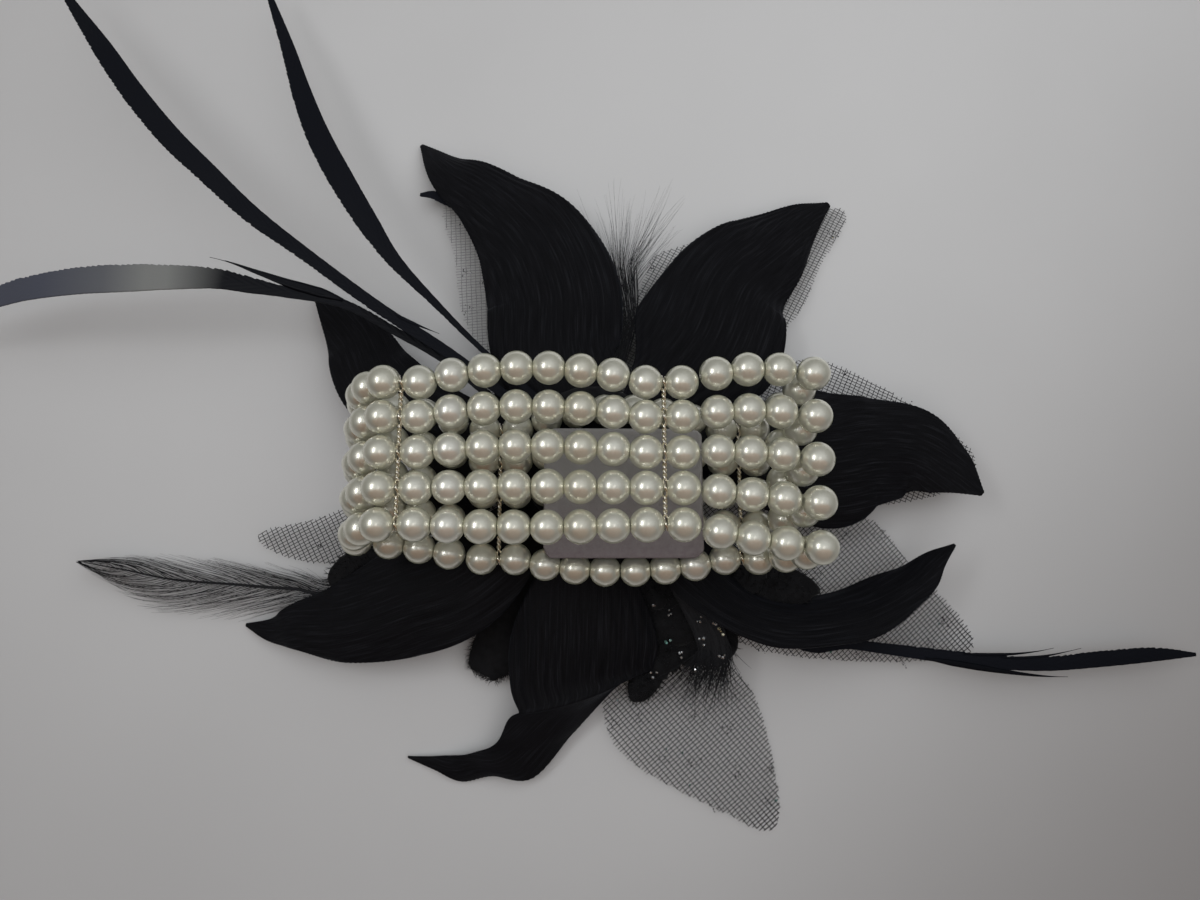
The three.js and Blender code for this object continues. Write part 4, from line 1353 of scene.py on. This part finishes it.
def add_gem(shape, centre, radius):
    """A cut stone: a flat table, a crown, a girdle and a point below, turned at random."""
    turn = Matrix.Rotation(draw.uniform(-GEM_TILT, GEM_TILT), 3, "X")
    turn = turn @ Matrix.Rotation(draw.uniform(-GEM_TILT, GEM_TILT), 3, "Y")
    turn = turn @ Matrix.Rotation(draw.uniform(0, math.tau), 3, "Z")
    rings = []
    for reach, height in GEM_LEVELS:
        spokes = circle(GEM_SIDES)
        rings.append([centre + turn @ (Vector((reach * c, reach * s, height)) * radius) for c, s in spokes])
    shape.skin(rings, downward=True)


def build_leaf(name, heading, root_z, fall, grain, corners):
    along = turned(heading)
    sideways = LIFT.cross(along)
    start = along * TULLE_ROOT - sideways * ROOT_HALF
    stop = along * TULLE_ROOT + sideways * ROOT_HALF
    curve = curve_through([start, *[Vector((x, y, 0)) for x, y in corners], stop])
    outline = [curve(k / OUTLINE_POINTS) for k in range(OUTLINE_POINTS + 1)]
    seed = draw.uniform(0, 50)

    def settle(p):
        """Lays a flat point on the leaning, slightly rippled leaf."""
        u = p.dot(along) - TULLE_ROOT
        rippled = smooth_noise(p.x * RIPPLE_SCALE, p.y * RIPPLE_SCALE, seed)
        ripple = RIPPLE * min(1, u / RIPPLE_START) * rippled
        return FLOWER + Vector((p.x, p.y, root_z + ROOT_LIFT - fall * u + ripple))

    net = Shape()
    weave(net, outline, grain, settle)
    made = flower_piece(f"net_{name}", net, SEE_THROUGH_LEAVES.get(name, TULLE), [name])
    dots = Shape()
    sparks = Shape()
    cells = int(LEAF_REACH / DOT_GAP)
    for row in range(-cells, cells):
        for column in range(-cells, cells):
            cell = Vector((column * DOT_GAP + (row % 2) * DOT_GAP / 2, row * DOT_GAP, 0))
            spot = cell + flat_stray(DOT_STRAY)
            glint = spot + flat_stray(GLINT_STRAY)
            if inside(spot, outline):
                for _ in range(FLOCKS_IN_A_DOT):
                    shift = Vector((draw.gauss(0, FLOCK_STRAY), draw.gauss(0, FLOCK_STRAY), 0))
                    add_flock(dots, settle(spot + shift), draw.uniform(*FLOCK_SIZES))
            if inside(glint, outline) and draw.random() < GLINT_CHANCE:
                add_gem(sparks, settle(glint) + LIFT * GLINT_LIFT, draw.uniform(*GLINT_SIZES))
    dot_piece = flower_piece(f"dots_{name}", dots, BLACK_FELT)
    spark_piece = flower_piece(f"glitter_{name}", sparks, draw.choice(STONES), smooth=False)


for leaf_name, leaf_form in TULLE_LEAVES.items():
    build_leaf(leaf_name, *leaf_form)


# Stamens: dark stalks in a furry velvet cushion, set with cut stones

STAMEN_HUB = Vector((3.2, -8, -11))
STAMEN_TIPS = [(15, -45, -17), (15, -37, -16), (21, -42, -17), (14.5, -30, -14), (21.5, -35, -16.5)]
STALK_POINTS = 24
STALK_ARCH = 6.4
STALK_HALF = 0.75
STALK_STRAY = (0.85, 1.1)
STALK_HEAD = 1.6
HEAD_SHARE = 0.93
HEAD_SPAN = 0.07
STONE_SPOTS = [
    (13, -29, -11.9), (16, -31, -12), (22.5, -32.5, -11), (26, -33, -11), (27, -35, -11.1),
    (16, -37, -12.9), (23, -37, -11.5), (19, -40, -13.8), (27, -40, -12), (13, -44, -14.6),
    (14.5, -42.5, -14.9), (22, -43, -12.9), (28, -46, -13.8),
]
STONES_AT_A_SPOT = 3
STONE_STRAY = 0.7
STONE_RISE = 0.4
STONE_SIZES = (0.25, 0.45)
# The stones that a spot may get, as places in the list of stones. Most are clear.
STONE_MIX = (0, 0, 0, 0, 0, 1, 2)
# The cushion's lumps: middle, half sizes, turn and longest fur
LUMPS = [
    ((13, -26, -13.5), (5, 5, 1.4), 0, 1.3),
    ((19, -31, -14), (8.5, 7, 1.6), 0, 1.3),
    ((25, -36, -14.6), (6, 6, 1.5), 0, 1.3),
    ((15.5, -39, -15.4), (4.5, 5, 1.5), 0, 1.3),
    ((11.5, -45, -16.2), (3.2, 5.6, 1.2), -35, 1.3),
    ((30, -23, -11.5), (7, 5, 1.2), 0, 1.3),
    ((39, -25, -12.6), (9, 4.2, 1.1), -12, 1.3),
    ((-50, -22.5, -15.4), (8, 5.5, 0.9), 20, 1.8),
    ((-30, -4, -9), (9, 12, 1.2), 0, 1.3),
    ((-17, 18, -7.5), (5, 5, 1.2), 0, 1.3),
]
LUMP_ROWS = 12
LUMP_SIDES = 30
LUMP_SWELL = 0.16
LUMP_SWELL_SCALE = 2.2
HAIRS_AT_A_POINT = 2
# How far the end rings stay from the poles, as a share of a row, and the height above which fur grows
LUMP_POLE = 0.02
FUR_LINE = -0.5


def add_lump(shape, centre, halves, degrees, fur):
    """A flattened furry lump of velvet."""
    middle = Vector(centre)
    turn = Matrix.Rotation(math.radians(degrees), 3, "Z")
    rings = []
    for r in range(LUMP_ROWS + 1):
        tilt = math.pi * ((r + LUMP_POLE) / (LUMP_ROWS + 2 * LUMP_POLE) - 0.5)
        ring = []
        for c, s in circle(LUMP_SIDES):
            way = Vector((math.cos(tilt) * c, math.cos(tilt) * s, math.sin(tilt)))
            swell = 1 + LUMP_SWELL * noise.noise(way * LUMP_SWELL_SCALE + middle)
            place = turn @ Vector([half * part * swell for half, part in zip(halves, way)])
            ring.append(FLOWER + middle + place)
            if way.z > FUR_LINE:
                add_fur(shape, ring[-1], turn @ way, HAIRS_AT_A_POINT, fur)
        rings.append(ring)
    shape.skin(rings)


def build_stamens():
    shape = Shape()
    for tip in STAMEN_TIPS:
        line = []
        sizes = []
        for k in range(STALK_POINTS + 1):
            share = k / STALK_POINTS
            here = STAMEN_HUB.lerp(Vector(tip), share)
            here.z += STALK_ARCH * share * (1 - share)
            line.append(FLOWER + here)
            head = STALK_HEAD * math.exp(-((share - HEAD_SHARE) / HEAD_SPAN) ** 2)
            sizes.append((STALK_HALF + head) * draw.uniform(*STALK_STRAY))
        shape.tube(line, sizes, sides=10)
    for lump in LUMPS:
        add_lump(shape, *lump)
    flower_piece("fuzzy_stamens", shape, VELVET, ["crystal_stamens"])
    groups = [Shape() for _ in STONES]
    for spot in STONE_SPOTS:
        group = groups[draw.choice(STONE_MIX)]
        for _ in range(STONES_AT_A_SPOT):
            shift = flat_stray(STONE_STRAY) + LIFT * draw.uniform(0, STONE_RISE)
            add_gem(group, FLOWER + Vector(spot) + shift, draw.uniform(*STONE_SIZES))
    for group, stone in zip(groups, STONES):
        if group.points:
            flower_piece(f"stones_{stone.name}", group, stone, smooth=False)


build_stamens()


# Stage: table, light and camera

TABLE_HALF = 3.0
# The dim warm patch that the pearls mirror below their middle: where it is, how much it is drawn in sideways
# and where its edge begins and ends. Then the sky's brightness by height.
WARM_SIDE = Vector((0.02, -0.75, 0.66))
WARM_NARROWING = (0.55, 1.0, 1.0)
WARM_EDGE = (0.81, 0.86)
WARM_DIM = (0.36, 0.2, 0.12)
SKY = [
    (0.0, (0.08, 0.08, 0.08)), (0.5, (0.13, 0.13, 0.112)), (0.8, (0.21, 0.21, 0.21)),
    (0.92, (0.4, 0.405, 0.42)), (1.0, (0.52, 0.53, 0.56)),
]
# The near side of the room is dim: where it is dimmest, where the dimming stops and what is left of the light
NEAR_SIDE = (-0.75, 0.05)
NEAR_SHARE = 0.35


def build_stage():
    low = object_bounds()[0][2]
    corners = [(x * TABLE_HALF, y * TABLE_HALF, low) for x, y in ((-1, -1), (1, -1), (1, 1), (-1, 1))]
    mesh = bpy.data.meshes.new("table")
    mesh.from_pydata(corners, [], [(0, 1, 2, 3)])
    mesh.materials.append(table_material())
    table = bpy.data.objects.new("table", mesh)
    bpy.context.collection.objects.link(table)


def add_lamp(name, place, aim, size, power, colour):
    """A rectangular lamp. size is its width and its height."""
    light = bpy.data.lights.new(name, "AREA")
    light.shape = "RECTANGLE"
    light.size, light.size_y = size
    light.energy = power
    light.color = colour
    lamp = bpy.data.objects.new(name, light)
    lamp.location = place
    lamp.rotation_euler = (Vector(aim) - Vector(place)).to_track_quat("-Z", "Y").to_euler()
    bpy.context.collection.objects.link(lamp)
    return lamp


def build_world():
    world = bpy.data.worlds.new("studio")
    bpy.context.scene.world = world
    world.use_nodes = True
    tree = world.node_tree
    toward = coordinates(tree, "Generated")
    split = add_node(tree, "SeparateXYZ", toward)
    height = add_node(tree, "MapRange", split.outputs["Z"], From_Min=-1.0)
    sky = ramp_colours(tree, height.outputs["Result"], SKY)
    drawn_in = add_node(tree, "VectorMath", toward, operation="MULTIPLY")
    drawn_in.inputs[1].default_value = WARM_NARROWING
    heading = add_node(tree, "VectorMath", drawn_in.outputs["Vector"], operation="NORMALIZE")
    nearness = add_node(tree, "VectorMath", heading.outputs["Vector"], operation="DOT_PRODUCT")
    nearness.inputs[1].default_value = WARM_SIDE.normalized()
    patch = smooth_step(tree, nearness.outputs["Value"], *WARM_EDGE)
    lit = add_node(tree, "VectorMath", mix_colours(tree, patch, sky, WARM_DIM), operation="SCALE")
    tree.links.new(smooth_step(tree, split.outputs["Y"], *NEAR_SIDE, NEAR_SHARE), lit.inputs["Scale"])
    seen = add_node(tree, "LightPath").outputs["Is Camera Ray"]
    colour = mix_colours(tree, seen, lit.outputs["Vector"], BACKDROP)
    tree.links.new(colour, tree.nodes["Background"].inputs["Color"])


def build_light():
    build_world()
    add_lamp("side_window", (-0.25, 0.045, 0.38), (0, 0, 0), (0.2, 0.07), 0.3, (0.98, 0.99, 1.0))
    add_lamp("ceiling_lamp", (0.036, -0.026, 0.45), (0, 0, 0), (0.14, 0.06), 0.03, (1.0, 0.97, 0.93))
    far = add_lamp("far_window", (0.14, 0.29, 0.25), (-0.09, 0.49, -0.034), (0.8, 0.5), 1.5,
                   (0.95, 0.98, 1.0))
    # The far window only fills the table with light and is not mirrored
    far.visible_glossy = False


def build_camera():
    camera = bpy.data.cameras.new("camera")
    camera.lens = CAMERA_LENS
    camera.sensor_width = CAMERA_SENSOR
    camera.clip_start = 0.01
    viewer = bpy.data.objects.new("camera", camera)
    viewer.location = CAMERA_PLACE
    viewer.rotation_euler = (CAMERA_LEAN, 0, 0)
    bpy.context.collection.objects.link(viewer)
    bpy.context.scene.camera = viewer


build_stage()
build_light()
build_camera()
bpy.context.scene.view_settings.view_transform = "Standard"
